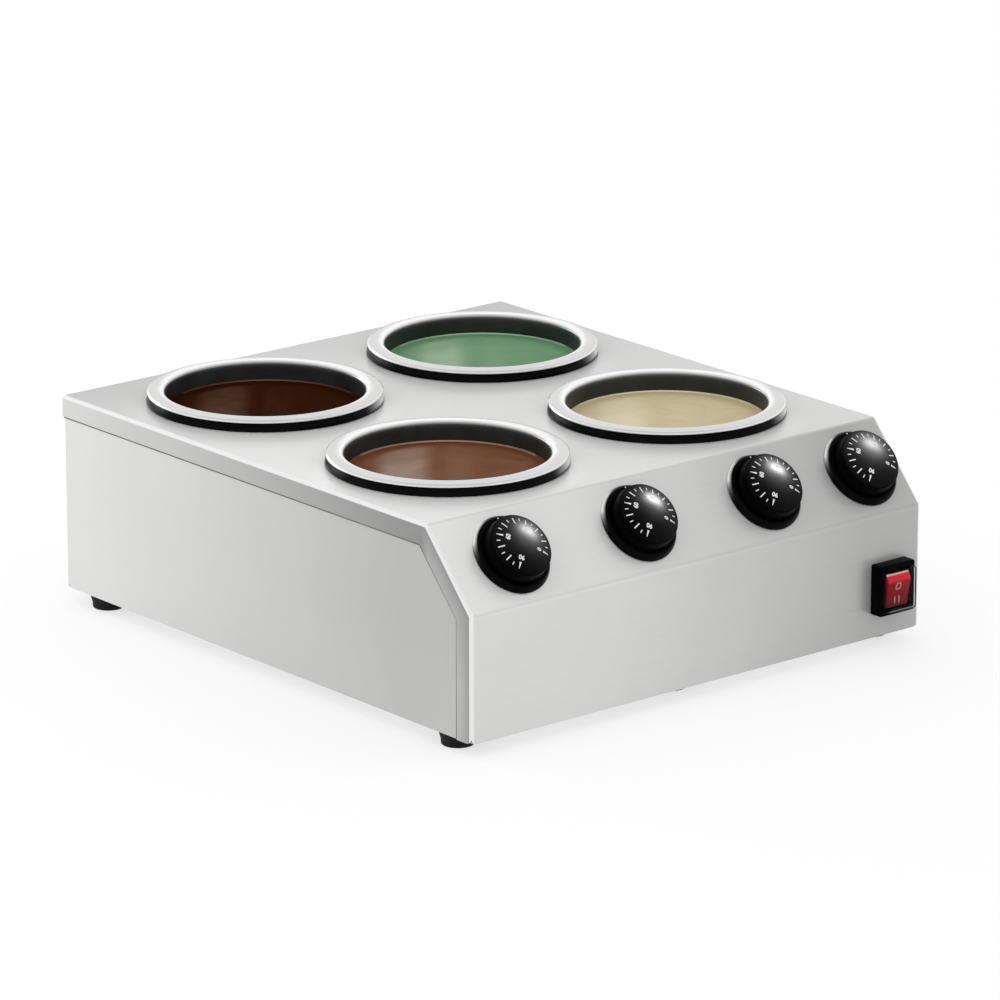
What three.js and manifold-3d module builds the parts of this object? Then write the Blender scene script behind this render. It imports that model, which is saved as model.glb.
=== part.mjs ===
// Countertop chocolate melter: a folded steel housing with four lift-out pots, four thermostat knobs
// on a sloping panel and a rocker switch on the upright front. Millimetres, +Z up, front towards -Y,
// origin on the table under the middle of the whole object.
import * as THREE from "three";
import { mergeVertices } from "three/addons/utils/BufferGeometryUtils.js";
import Module from "manifold-3d";

const wasm = await Module();
wasm.setup();

// Driving sizes of the housing
const width = 400;
const depth = 450;
const height = 150;
const slopeRun = 46.3;
const slopeDrop = 52;
const sheet = 1;
const bendRadius = 2.6;
const sideBendRadius = 2.2;
const lipWidth = 15;
const panelCorner = 5;

// Gaps between pieces, and how far a cutting solid runs past what it cuts
const seat = 0.3;
const overrun = 2;
const mergeDistance = 0.001;

// Counts of flat sides on round pieces, and of steps in a rounded corner
const largeSides = 28;
const mediumSides = 24;
const smallSides = 14;
const wireSides = 6;
const hexSides = 6;
const cornerSteps = 2;

// Feet
const footHeight = 10;
const footRadius = 13;
const footTipRadius = 11.2;
const footChamfer = 1.2;
const footRecessRadius = 5;
const footRecessDepth = 4;
const footFromSide = 15;
const footFromEnd = 32;

// Base pan and its vents
const baseWallHeight = 12;
const baseVentLength = 60;
const baseVentWidth = 5;
const baseVentPitch = 14;
const baseVentCount = 4;

// Rear panel vents
const rearVentHeight = 46;
const rearVentWidth = 4;
const rearVentPitch = 11;
const rearVentCount = 6;
const rearVentMiddleHeight = 78;
const rearVentFromMiddle = 105;

// Pots: room round the rims on the deck, rim and cup
const rimFromSide = 19.7;
const rimFromSlope = 19.9;
const rimFromBack = 19.2;
const rimGap = 31.4;
const rimWidth = 12.6;
const rimLift = 6.2;
const rimThickness = 2.6;
const rimRoot = 1.6;
const potWall = 1.2;
const potTaper = 5.7;
const potDepth = 98;
const potCorner = 12;
// Top face of the rim: how far out from the mouth, and how high in the rim's thickness
const rimTopShares = [
  [0, 0.35],
  [0.12, 0.9],
  [0.35, 1],
  [0.86, 0.82],
  [1, 0.4],
  [0.96, 0],
];

// Chocolate
const chocolateBelowDeck = 5;

// Collar between rim and deck
const collarOverhang = 0.7;
const collarWall = 4.8;
const collarSpigotDepth = 6;
const potSlack = 1.5;
// Outer side of the collar: share of its flange width, and share of its height
const collarSideShares = [
  [0.96, 0],
  [1, 0.3],
  [0.96, 0.8],
  [0.84, 1],
];

// Well under the deck
const spigotClearance = 0.4;
const wellFlangeWidth = 7;
const wellFloorGap = 2;
const wellCorner = 8;

// Heating disc
const heaterInset = 6;
const heaterThickness = 8;
const heaterBossRadius = 12;
const heaterBossHeight = 4;
const tabWidth = 6.3;
const tabThickness = 1;
const tabLength = 8;
const heaterTabShare = 0.586;

// Knobs, bezels and spindles; places are shares of the housing's width from its left side
const knobPlaceShares = [0.132, 0.408, 0.688, 0.91];
const bezelRadius = 28.6;
const bezelThickness = 5;
const bezelBoreRadius = 6;
const knobGap = 0.5;
const knobFaceRadius = 22.5;
const knobFaceHeight = 14.4;
const knobCrown = 4.1;
const knobSkirtRadius = 23.7;
const knobWall = 2;
const knobHubRadius = 6.5;
const spindleRadius = 3;
const spindleReach = 14.6;
// Dome of the knob: share of the face radius, and share of the crown
const domeShares = [
  [0, 1],
  [0.35, 0.9],
  [0.65, 0.63],
  [0.88, 0.25],
  [0.96, 0.05],
  [1, -0.22],
];
// Outer side of the bezel: share of its radius, and share of its thickness
const bezelSideShares = [
  [1, 0],
  [1, 0.6],
  [0.97, 0.9],
  [0.93, 1],
];

// Thermostats and their sensors
const thermostatWidth = 36;
const thermostatDepth = 22;
const thermostatTabShare = 0.25;
const neckRadius = 5;
const neckReach = 3.4;
const spindleSink = 8;
const capillaryRadius = 1;
const bulbRadius = 3;
const bulbLength = 50;
const bulbTopBelowDeck = 48;
const capillaryFromWell = 9.8;
const capillaryLift = 12;
const frontSensorBearings = [-62, -100];

// Rocker switch
const switchFromRight = 29.4;
const switchAboveBase = 35;
const switchFrameWidth = 32;
const switchFrameHeight = 36;
const switchFrameReach = 10;
const switchFrameChamfer = 1.5;
const switchBodyWidth = 27;
const switchBodyHeight = 30;
const switchBodyDepth = 18;
const rockerWidth = 20.6;
const rockerHeight = 24;
const rockerFaceDepth = 5;
const rockerEndRise = 1.5;
const rockerBackRadius = 5;
const rockerPivotSink = 5;
const rockerTilt = 9;
const rockerPinRadius = 1.6;
const rockerPinReach = 1.6;
const rockerSideGap = 0.5;
const rockerEndGap = 1.4;
const capWidth = 26;
const capHeight = 30;
const capReach = 5.2;
const capWall = 0.9;
const capCorner = 2;

// Cord gland in the rear panel
const glandHeight = 36;
const glandThreadRadius = 8;
const glandBoreRadius = 4.8;
const glandHexRadius = 12.4;
const glandFlangeThickness = 5;
const glandThreadReach = 12;
const glandInnerReach = 9;
const locknutThickness = 4;
const glandNutLength = 14;
const glandNutHexShare = 0.55;
const glandDomeShare = 0.72;
const glandDomeWall = 1.4;
const sealLength = 3.4;

// Terminal block and wires
const terminalWidth = 40;
const terminalDepth = 18;
const terminalHeight = 16;
const terminalFromBack = 48;
const terminalPoles = 4;
const terminalStep = 5;
const terminalSlot = 1.6;
const wireRadius = 2.5;
const busFromFront = 42;
const heaterLegLength = 26;
const wireClimbHeight = 16;

// Worked out from the sizes above
const left = -width / 2;
const right = width / 2;
const front = -depth / 2;
const back = depth / 2;
const base = footHeight;
const slopeAngle = Math.atan2(slopeDrop, slopeRun);
const slopeFootHeight = height - slopeDrop;
const panelInset = sheet + seat;
const panelOuter = right - panelInset;
const panelInner = panelOuter - sheet;
const rearOuter = back - panelInset;
const rearInner = rearOuter - sheet;
const rimRoomX = width - 2 * rimFromSide - rimGap;
const rimRoomY = depth - slopeRun - rimFromSlope - rimFromBack - rimGap;
const rimRadius = Math.min(rimRoomX, rimRoomY) / 4;
const mouthRadius = rimRadius - rimWidth;
const potFloorRadius = mouthRadius - potTaper;
const potRowsY = {
  rear: back - rimFromBack - rimRadius,
  front: front + slopeRun + rimFromSlope + rimRadius,
};
const potColumnsX = {
  left: left + rimFromSide + rimRadius,
  right: right - rimFromSide - rimRadius,
};
const heaterRadius = potFloorRadius - heaterInset;
const heaterTabSpread = heaterTabShare * heaterRadius;
const collarRadius = rimRadius + collarOverhang;
const collarBoreRadius = mouthRadius + potWall + potSlack;
const collarSpigotRadius = collarBoreRadius + collarWall;
const deckHoleRadius = collarSpigotRadius + spigotClearance;
const wellRadius = deckHoleRadius;
const potBottom = height - potDepth;
const wellFloorTop = potBottom - wellFloorGap;
const rimUnderside = height + rimLift;
const heaterTop = wellFloorTop - sheet - seat;
const switchX = right - switchFromRight;
const switchZ = base + switchAboveBase;
const switchReach = switchFrameReach + seat + capReach;
const glandReach = glandFlangeThickness + seat + glandNutLength - panelInset + seat;
const knobLowReach =
  knobFaceHeight * Math.sin(slopeAngle) + knobFaceRadius * Math.cos(slopeAngle) - slopeRun / 2;
const originShift = (Math.max(switchReach, knobLowReach) - glandReach) / 2;

const colours = {
  steel: { color: 0xc9c9c7, roughness: 0.32, metalness: 1 },
  panelSteel: { color: 0xbcbcba, roughness: 0.38, metalness: 1 },
  potMetal: { color: 0xb6b6b6, roughness: 0.36, metalness: 1 },
  wellMetal: { color: 0x9fa0a2, roughness: 0.5, metalness: 1 },
  brightSteel: { color: 0xd2d2d2, roughness: 0.25, metalness: 1 },
  blackGloss: { color: 0x0a0a0a, roughness: 0.18, metalness: 0 },
  blackPlastic: { color: 0x111111, roughness: 0.45, metalness: 0 },
  rubber: { color: 0x0d0d0d, roughness: 0.8, metalness: 0 },
  heater: { color: 0x6e6f71, roughness: 0.6, metalness: 0.8 },
  copper: { color: 0xa9683f, roughness: 0.4, metalness: 1 },
  redRocker: { color: 0x8e1018, roughness: 0.3, metalness: 0 },
  clearCap: { color: 0xdfe6e4, roughness: 0.1, metalness: 0 },
  wire: { color: 0x2a2a2c, roughness: 0.6, metalness: 0 },
  terminal: { color: 0xe6e3d8, roughness: 0.5, metalness: 0 },
  milk: { color: 0x5a2a1b, roughness: 0.3, metalness: 0 },
  dark: { color: 0x2a0f09, roughness: 0.25, metalness: 0 },
  green: { color: 0x5fa476, roughness: 0.3, metalness: 0 },
  white: { color: 0xcdbf9d, roughness: 0.3, metalness: 0 },
};

// A closed solid from any closed geometry, its shared corners merged.
function solidOf(geometry) {
  const loose = geometry.index ? geometry.toNonIndexed() : geometry;
  const bare = new THREE.BufferGeometry();
  bare.setAttribute("position", loose.getAttribute("position"));
  const merged = mergeVertices(bare, mergeDistance);
  return new wasm.Manifold(
    new wasm.Mesh({
      numProp: 3,
      vertProperties: merged.getAttribute("position").array,
      triVerts: new Uint32Array(merged.index.array),
    }),
  );
}

function geometryOf(solid) {
  const { vertProperties, triVerts } = solid.getMesh();
  const geometry = new THREE.BufferGeometry();
  geometry.setAttribute("position", new THREE.BufferAttribute(Float32Array.from(vertProperties), 3));
  geometry.setIndex(new THREE.BufferAttribute(Uint32Array.from(triVerts), 1));
  geometry.computeVertexNormals();
  return geometry;
}

const joined = (first, ...rest) => rest.reduce((sum, solid) => sum.add(solid), first);
const cutAway = (first, ...rest) => rest.reduce((sum, solid) => sum.subtract(solid), first);

// A box between two values along each axis.
function block([x0, x1], [y0, y1], [z0, z1]) {
  const geometry = new THREE.BoxGeometry(x1 - x0, y1 - y0, z1 - z0);
  geometry.translate((x0 + x1) / 2, (y0 + y1) / 2, (z0 + z1) / 2);
  return solidOf(geometry);
}

// A round or many-sided bar along Z about the point x, y.
function bar(radius, [z0, z1], sides = smallSides, x = 0, y = 0) {
  const geometry = new THREE.CylinderGeometry(radius, radius, z1 - z0, sides);
  geometry.rotateX(Math.PI / 2);
  geometry.translate(x, y, (z0 + z1) / 2);
  return solidOf(geometry);
}

// A profile of radius and height turned about Z; one that leaves the axis is closed on itself.
function turned(profile, sides) {
  const points = profile.map(([radius, z]) => new THREE.Vector2(radius, z));
  if (THREE.ShapeUtils.area(points) < 0) points.reverse();
  if (points[0].x > 0) points.push(points[0].clone());
  const geometry = new THREE.LatheGeometry(points, sides);
  geometry.rotateX(Math.PI / 2);
  return solidOf(geometry);
}

// Points of radius and height along a rounded corner, from one angle to another.
function cornerArc(centreRadius, centreZ, radius, startAngle, endAngle, steps = cornerSteps) {
  const points = [];
  for (let i = 0; i <= steps; i += 1) {
    const angle = startAngle + ((endAngle - startAngle) * i) / steps;
    points.push([centreRadius + radius * Math.cos(angle), centreZ + radius * Math.sin(angle)]);
  }
  return points;
}

// A shape through corner points, each rounded by its own radius.
function roundedShape(corners) {
  const shape = new THREE.Shape();
  corners.forEach(([x, y, radius], i) => {
    if (radius === 0 && i === 0) shape.moveTo(x, y);
    if (radius === 0) {
      if (i > 0) shape.lineTo(x, y);
      return;
    }
    const here = new THREE.Vector2(x, y);
    const [beforeX, beforeY] = corners.at(i - 1);
    const [afterX, afterY] = corners[(i + 1) % corners.length];
    const toBefore = new THREE.Vector2(beforeX, beforeY).sub(here).normalize();
    const toAfter = new THREE.Vector2(afterX, afterY).sub(here).normalize();
    const half = Math.acos(toBefore.dot(toAfter)) / 2;
    const middle = toBefore.clone().add(toAfter).normalize();
    const centre = here.clone().addScaledVector(middle, radius / Math.sin(half));
    const enter = here.clone().addScaledVector(toBefore, radius / Math.tan(half)).sub(centre);
    const leave = here.clone().addScaledVector(toAfter, radius / Math.tan(half)).sub(centre);
    const clockwise = toBefore.cross(toAfter) > 0;
    shape.absarc(centre.x, centre.y, radius, enter.angle(), leave.angle(), clockwise);
  });
  return shape;
}

// A side view in Y and Z, drawn out along X between two values, its end edges rounded by a bend.
function acrossX(shape, x0, x1, bend = 0) {
  const geometry = new THREE.ExtrudeGeometry(shape, {
    depth: x1 - x0 - 2 * bend,
    curveSegments: cornerSteps,
    bevelEnabled: bend > 0,
    bevelThickness: bend,
    bevelSize: bend,
    bevelOffset: -bend,
    bevelSegments: cornerSteps,
  });
  geometry.translate(0, 0, x0 + bend);
  const alongY = new THREE.Vector3(0, 1, 0);
  const alongZ = new THREE.Vector3(0, 0, 1);
  const alongX = new THREE.Vector3(1, 0, 0);
  geometry.applyMatrix4(new THREE.Matrix4().makeBasis(alongY, alongZ, alongX));
  return solidOf(geometry);
}

// Height of the slope's lower bend, and depth of its upper one, on an outline drawn in by an inset.
const slopeFootAt = (inset) =>
  slopeFootHeight - (inset * (1 - Math.sin(slopeAngle))) / Math.cos(slopeAngle);
const slopeHeadAt = (inset) =>
  front + slopeRun + (inset * (1 - Math.cos(slopeAngle))) / Math.sin(slopeAngle);

// The housing's side view, drawn in by an inset from deck, slope, front and rear.
function housingShape(inset, bottom, radius, rear = back - inset, rearRadius = radius) {
  return roundedShape([
    [front + inset, bottom, 0],
    [rear, bottom, 0],
    [rear, height - inset, rearRadius],
    [slopeHeadAt(inset), height - inset, radius],
    [front + inset, slopeFootAt(inset), radius],
  ]);
}

// From a control's own frame (x across, y up the slope, z out of the panel) to the housing.
function slopeFrame(x) {
  const frame = new THREE.Matrix4().makeRotationX(slopeAngle);
  return frame.setPosition(x, front + slopeRun / 2, slopeFootHeight + slopeDrop / 2);
}

// A tube along a smooth curve through points.
function tube(points, radius, stepsPerPoint) {
  const path = new THREE.CatmullRomCurve3(points, false, "centripetal");
  const circle = new THREE.Shape().absarc(0, 0, radius, 0, 2 * Math.PI);
  const geometry = new THREE.ExtrudeGeometry(circle, {
    steps: (points.length - 1) * stepsPerPoint,
    curveSegments: wireSides / 2,
    extrudePath: path,
  });
  return solidOf(geometry);
}

function finish(material) {
  return new THREE.MeshStandardMaterial(colours[material]);
}

function piece(name, solid, material) {
  const mesh = new THREE.Mesh(geometryOf(solid), finish(material));
  mesh.name = name;
  return mesh;
}

const knobPlaces = knobPlaceShares.map((share) => left + share * width);

// One folded sheet: deck, slope and front, with lips down both sides and the back.
function topCover() {
  const below = base - overrun;
  const outerShape = housingShape(0, below - bendRadius, bendRadius);
  const outer = acrossX(outerShape, left, right, sideBendRadius);
  const innerShape = housingShape(sheet, below - 2 * bendRadius, bendRadius - sheet);
  const inner = acrossX(innerShape, left + sheet, right - sheet, sideBendRadius - sheet);
  const lipCut = acrossX(
    housingShape(lipWidth, below - 3 * bendRadius, bendRadius, back + overrun, 0),
    left - overrun,
    right + overrun,
  );
  const underside = block(
    [left - overrun, right + overrun],
    [front - overrun, back + overrun],
    [below - 4 * bendRadius, base],
  );
  const potHoles = Object.values(potColumnsX).flatMap((x) =>
    Object.values(potRowsY).map((y) =>
      bar(deckHoleRadius, [height - sheet - overrun, height + overrun], largeSides, x, y),
    ),
  );
  const spindleHoles = knobPlaces.map((x) => {
    const geometry = new THREE.CylinderGeometry(
      neckRadius + seat,
      neckRadius + seat,
      2 * (sheet + overrun),
      smallSides,
    );
    geometry.rotateX(Math.PI / 2);
    geometry.applyMatrix4(slopeFrame(x));
    return solidOf(geometry);
  });
  const switchHole = block(
    [switchX - switchBodyWidth / 2 - seat, switchX + switchBodyWidth / 2 + seat],
    [front - overrun, front + sheet + overrun],
    [switchZ - switchBodyHeight / 2 - seat, switchZ + switchBodyHeight / 2 + seat],
  );
  return cutAway(outer, inner, lipCut, underside, ...potHoles, ...spindleHoles, switchHole);
}

// A flat sheet whose edges end just inside the cover's bends.
function sidePanel(x0, x1) {
  const inset = sheet + bendRadius;
  const rearEdge = back - sheet - sideBendRadius;
  const shape = roundedShape([
    [front + inset, base, 0],
    [rearEdge - panelCorner, base, 0],
    [rearEdge, base + panelCorner, 0],
    [rearEdge, height - inset, 0],
    [slopeHeadAt(inset), height - inset, 0],
    [front + inset, slopeFootAt(inset), 0],
  ]);
  return acrossX(shape, x0, x1);
}

function rearPanel() {
  const plate = block(
    [-panelInner + seat, panelInner - seat],
    [rearInner, rearOuter],
    [base, height - sheet - bendRadius],
  );
  const through = [rearInner - overrun, rearOuter + overrun];
  const cuts = [];
  for (const side of [-1, 1]) {
    for (let i = 0; i < rearVentCount; i += 1) {
      const x = side * rearVentFromMiddle + (i - (rearVentCount - 1) / 2) * rearVentPitch;
      cuts.push(
        block([x - rearVentWidth / 2, x + rearVentWidth / 2], through, [
          rearVentMiddleHeight - rearVentHeight / 2,
          rearVentMiddleHeight + rearVentHeight / 2,
        ]),
      );
    }
  }
  const glandHole = new THREE.CylinderGeometry(
    glandThreadRadius + seat,
    glandThreadRadius + seat,
    2 * (sheet + overrun),
    smallSides,
  );
  glandHole.translate(0, rearInner, glandHeight);
  return cutAway(plate, ...cuts, solidOf(glandHole));
}

function basePlate() {
  const halfWidth = panelInner - seat;
  const frontEdge = front + panelInset;
  const backEdge = rearInner - seat;
  const pan = block([-halfWidth, halfWidth], [frontEdge, backEdge], [base, base + baseWallHeight]);
  const hollow = block(
    [-halfWidth + sheet, halfWidth - sheet],
    [frontEdge + sheet, backEdge - sheet],
    [base + sheet, base + baseWallHeight + overrun],
  );
  const vents = [];
  for (const x of Object.values(potColumnsX)) {
    for (const y of Object.values(potRowsY)) {
      for (let i = 0; i < baseVentCount; i += 1) {
        const middle = y + (i - (baseVentCount - 1) / 2) * baseVentPitch;
        vents.push(
          block(
            [x - baseVentLength / 2, x + baseVentLength / 2],
            [middle - baseVentWidth / 2, middle + baseVentWidth / 2],
            [base - overrun, base + sheet + overrun],
          ),
        );
      }
    }
  }
  return cutAway(pan, hollow, ...vents);
}

// A rubber foot with a screw recess in its underside.
function foot() {
  return turned(
    [
      [0, footRecessDepth],
      [footRecessRadius, footRecessDepth],
      [footRecessRadius, 0],
      [footTipRadius - footChamfer, 0],
      [footTipRadius, footChamfer],
      [footRadius, footHeight - seat],
      [0, footHeight - seat],
    ],
    smallSides,
  );
}

// Inner radius of the pot's tapering wall at a height.
function potInnerRadius(z) {
  const floorZ = potBottom + potCorner;
  const share = (z - floorZ) / (rimUnderside - floorZ);
  return potFloorRadius - potWall + share * (mouthRadius - potFloorRadius + potWall);
}

function pot() {
  const rimTop = rimTopShares.map(([out, up]) => [
    mouthRadius + out * rimWidth,
    rimUnderside + up * rimThickness,
  ]);
  const outerFloor = cornerArc(
    potFloorRadius - potCorner,
    potBottom + potCorner,
    potCorner,
    0,
    -Math.PI / 2,
  );
  const innerFloor = cornerArc(
    potFloorRadius - potCorner,
    potBottom + potCorner,
    potCorner - potWall,
    -Math.PI / 2,
    0,
  );
  const profile = [
    ...rimTop,
    [mouthRadius + potWall + rimRoot, rimUnderside],
    [mouthRadius + potWall, rimUnderside - rimRoot],
    ...outerFloor,
    [0, potBottom],
    [0, potBottom + potWall],
    ...innerFloor,
  ];
  // The profile starts and ends on the axis, so it is turned round to begin there.
  const axisStart = profile.findIndex(([radius]) => radius === 0) + 1;
  return turned([...profile.slice(axisStart), ...profile.slice(0, axisStart)], largeSides);
}

function chocolate() {
  const surface = height - chocolateBelowDeck;
  const corner = cornerArc(
    potFloorRadius - potCorner,
    potBottom + potCorner,
    potCorner - potWall - seat,
    -Math.PI / 2,
    0,
  );
  return turned(
    [[0, potBottom + potWall + seat], ...corner, [potInnerRadius(surface) - seat, surface], [0, surface]],
    largeSides,
  );
}

// A ring that lies on the deck, with a spigot down the deck's hole.
function collar() {
  const bottom = height + seat;
  const top = rimUnderside - seat;
  const flange = collarRadius - collarSpigotRadius;
  return turned(
    [
      ...collarSideShares.map(([out, up]) => [
        collarSpigotRadius + out * flange,
        bottom + up * (top - bottom),
      ]),
      [collarBoreRadius, top],
      [collarBoreRadius, height - collarSpigotDepth],
      [collarSpigotRadius, height - collarSpigotDepth],
      [collarSpigotRadius, bottom],
    ],
    largeSides,
  );
}

// A cup that hangs from the underside of the deck by its flange.
function well() {
  const flangeTop = height - sheet - seat;
  const outerRadius = wellRadius + sheet;
  const floorBottom = wellFloorTop - sheet;
  const centre = [wellRadius - wellCorner, wellFloorTop + wellCorner];
  const outerFloor = cornerArc(...centre, wellCorner + sheet, 0, -Math.PI / 2, 1);
  const innerFloor = cornerArc(...centre, wellCorner, -Math.PI / 2, 0, 1);
  return turned(
    [
      [0, wellFloorTop],
      ...innerFloor,
      [wellRadius, flangeTop],
      [outerRadius + wellFlangeWidth, flangeTop],
      [outerRadius + wellFlangeWidth, flangeTop - sheet],
      [outerRadius, flangeTop - sheet],
      ...outerFloor,
      [0, floorBottom],
    ],
    largeSides,
  );
}

// A heating disc with a clamp boss and two tabs below.
function heater() {
  const bottom = heaterTop - heaterThickness;
  const tabs = [-1, 1].map((side) =>
    block(
      [side * heaterTabSpread - tabWidth / 2, side * heaterTabSpread + tabWidth / 2],
      [-tabThickness / 2, tabThickness / 2],
      [bottom - tabLength, bottom + tabThickness],
    ),
  );
  return joined(
    bar(heaterRadius, [bottom, heaterTop], mediumSides),
    bar(heaterBossRadius, [bottom - heaterBossHeight, bottom + tabThickness], smallSides),
    ...tabs,
  );
}

function bezel() {
  return turned(
    [
      ...bezelSideShares.map(([out, up]) => [
        out * bezelRadius,
        seat + up * (bezelThickness - seat),
      ]),
      [bezelBoreRadius, bezelThickness],
      [bezelBoreRadius, seat],
    ],
    mediumSides,
  );
}

// A hollow domed knob with a hub that takes the spindle.
function knob() {
  const underside = bezelThickness + knobGap;
  const innerTop = knobFaceHeight - knobWall;
  const hubBore = spindleRadius + seat;
  const dome = domeShares.map(([out, up]) => [
    out * knobFaceRadius,
    knobFaceHeight + up * knobCrown,
  ]);
  return turned(
    [
      ...dome,
      [knobSkirtRadius, underside],
      [knobSkirtRadius - knobWall, underside],
      [knobFaceRadius - knobWall, innerTop],
      [knobHubRadius, innerTop],
      [knobHubRadius, underside],
      [hubBore, underside],
      [hubBore, spindleReach + seat],
      [0, spindleReach + seat],
    ],
    mediumSides,
  );
}

function spindle() {
  return bar(spindleRadius, [-panelInset - spindleSink + seat, spindleReach], smallSides);
}

// A boxed thermostat behind the panel with a hollow neck through it.
function thermostat() {
  const half = thermostatWidth / 2;
  const face = -panelInset;
  const rear = face - thermostatDepth;
  const tabPlace = thermostatTabShare * thermostatWidth;
  const tabs = [-1, 1].map((side) =>
    block(
      [side * tabPlace - tabWidth / 2, side * tabPlace + tabWidth / 2],
      [-half - tabLength, -half + tabThickness],
      [rear + tabLength, rear + tabLength + tabThickness],
    ),
  );
  return joined(
    block([-half, half], [-half, half], [rear, face]),
    bar(neckRadius, [face - tabThickness, neckReach], smallSides),
    ...tabs,
  ).subtract(bar(spindleRadius + seat, [face - spindleSink, neckReach + overrun], smallSides));
}

// A bulb that stands against a well's wall, and its capillary from the thermostat's back.
function sensor(number, potX, potY, bearing) {
  const reach = wellRadius + sheet + seat + bulbRadius;
  const angle = THREE.MathUtils.degToRad(bearing);
  const x = potX + reach * Math.cos(angle);
  const y = potY + reach * Math.sin(angle);
  const top = height - bulbTopBelowDeck;
  const bulb = bar(bulbRadius, [top - bulbLength, top], smallSides, x, y);
  const start = new THREE.Vector3(0, 0, -panelInset - thermostatDepth - seat);
  start.applyMatrix4(slopeFrame(knobPlaces[number - 1]));
  const leave = new THREE.Vector3(0, 0, -panelInset - thermostatDepth - seat - capillaryLift / 2);
  leave.applyMatrix4(slopeFrame(knobPlaces[number - 1]));
  const points = [start, leave];
  if (potY > 0) {
    const laneX = potX + Math.sign(potX) * (wellRadius + sheet + capillaryFromWell);
    const laneStart = potRowsY.front - wellRadius + capillaryLift;
    points.push(new THREE.Vector3(laneX, laneStart, top));
    points.push(new THREE.Vector3(laneX, potRowsY.front, top));
    points.push(new THREE.Vector3(laneX, (potRowsY.front + potRowsY.rear) / 2, top));
    points.push(new THREE.Vector3(laneX, potY - 3 * capillaryLift, top));
  }
  points.push(new THREE.Vector3(x, y - capillaryLift / 2, top + capillaryLift));
  points.push(new THREE.Vector3(x, y, top + capillaryLift / 2));
  points.push(new THREE.Vector3(x, y, top - bulbRadius));
  return joined(bulb, tube(points, capillaryRadius, 3));
}

// A cut-cornered block in the switch's own frame: x across, y up, z out of the front.
function cutCornerBlock(wide, high, [z0, z1], corner) {
  const shape = roundedShape([
    [-wide / 2, -high / 2, corner],
    [wide / 2, -high / 2, corner],
    [wide / 2, high / 2, corner],
    [-wide / 2, high / 2, corner],
  ]);
  const geometry = new THREE.ExtrudeGeometry(shape, {
    depth: z1 - z0,
    bevelEnabled: false,
    curveSegments: cornerSteps,
  });
  geometry.translate(0, 0, z0);
  return solidOf(geometry);
}

const pivotDepth = switchFrameReach - rockerPivotSink;
const rockerWellBottom = pivotDepth - rockerBackRadius - rockerSideGap;

function switchHousing() {
  const frame = cutCornerBlock(
    switchFrameWidth,
    switchFrameHeight,
    [seat, switchFrameReach],
    switchFrameChamfer,
  );
  const body = block(
    [-switchBodyWidth / 2, switchBodyWidth / 2],
    [-switchBodyHeight / 2, switchBodyHeight / 2],
    [-sheet - switchBodyDepth, seat + overrun],
  );
  const tabs = [-1, 0, 1].map((step) => {
    const y = (step * switchBodyHeight) / 3;
    const rear = -sheet - switchBodyDepth;
    return block(
      [-tabWidth / 2, tabWidth / 2],
      [y - tabThickness / 2, y + tabThickness / 2],
      [rear - tabLength, rear + tabThickness],
    );
  });
  const opening = block(
    [-rockerWidth / 2 - rockerSideGap, rockerWidth / 2 + rockerSideGap],
    [-rockerHeight / 2 - rockerEndGap, rockerHeight / 2 + rockerEndGap],
    [rockerWellBottom, switchFrameReach + overrun],
  );
  const pinHole = new THREE.CylinderGeometry(
    rockerPinRadius + seat,
    rockerPinRadius + seat,
    rockerWidth + 2 * (rockerPinReach + seat),
    smallSides,
  );
  pinHole.rotateZ(Math.PI / 2);
  pinHole.translate(0, 0, pivotDepth);
  return joined(frame, body, ...tabs).subtract(opening).subtract(solidOf(pinHole));
}

// The rocker about its pivot at the origin: two faces that rise to the ends, and a round back.
function rocker() {
  const half = rockerHeight / 2;
  const end = rockerFaceDepth + rockerEndRise;
  const shape = new THREE.Shape();
  shape.moveTo(-half, end);
  shape.lineTo(0, rockerFaceDepth);
  shape.lineTo(half, end);
  shape.lineTo(half, end - 2 * rockerEndRise);
  shape.lineTo(rockerBackRadius, 0);
  shape.absarc(0, 0, rockerBackRadius, 0, -Math.PI, true);
  shape.lineTo(-half, end - 2 * rockerEndRise);
  const geometry = new THREE.ExtrudeGeometry(shape, {
    depth: rockerWidth,
    bevelEnabled: false,
    curveSegments: 2 * cornerSteps,
  });
  geometry.translate(0, 0, -rockerWidth / 2);
  const up = new THREE.Vector3(0, 1, 0);
  const out = new THREE.Vector3(0, 0, 1);
  const across = new THREE.Vector3(1, 0, 0);
  geometry.applyMatrix4(new THREE.Matrix4().makeBasis(up, out, across));
  const pin = new THREE.CylinderGeometry(
    rockerPinRadius,
    rockerPinRadius,
    rockerWidth + 2 * rockerPinReach,
    smallSides,
  );
  pin.rotateZ(Math.PI / 2);
  return solidOf(geometry).add(solidOf(pin));
}

// A clear cap over the rocker, open towards the frame.
function switchCap() {
  const bottom = switchFrameReach + seat;
  const outer = cutCornerBlock(capWidth, capHeight, [bottom, bottom + capReach], capCorner);
  const inner = cutCornerBlock(
    capWidth - 2 * capWall,
    capHeight - 2 * capWall,
    [bottom - overrun, bottom + capReach - capWall],
    capCorner - capWall,
  );
  return outer.subtract(inner);
}

// The gland in its own frame: z runs out of the rear panel's outer face.
function glandBody() {
  const flangeBottom = seat;
  const flangeTop = seat + glandFlangeThickness;
  return joined(
    bar(glandHexRadius, [flangeBottom, flangeTop], hexSides),
    bar(glandThreadRadius, [-sheet - glandInnerReach, flangeBottom + overrun], smallSides),
    bar(glandThreadRadius, [flangeBottom, flangeTop + glandThreadReach - sealLength], smallSides),
  ).subtract(
    bar(glandBoreRadius, [-sheet - glandInnerReach - overrun, flangeTop + glandThreadReach], smallSides),
  );
}

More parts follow.
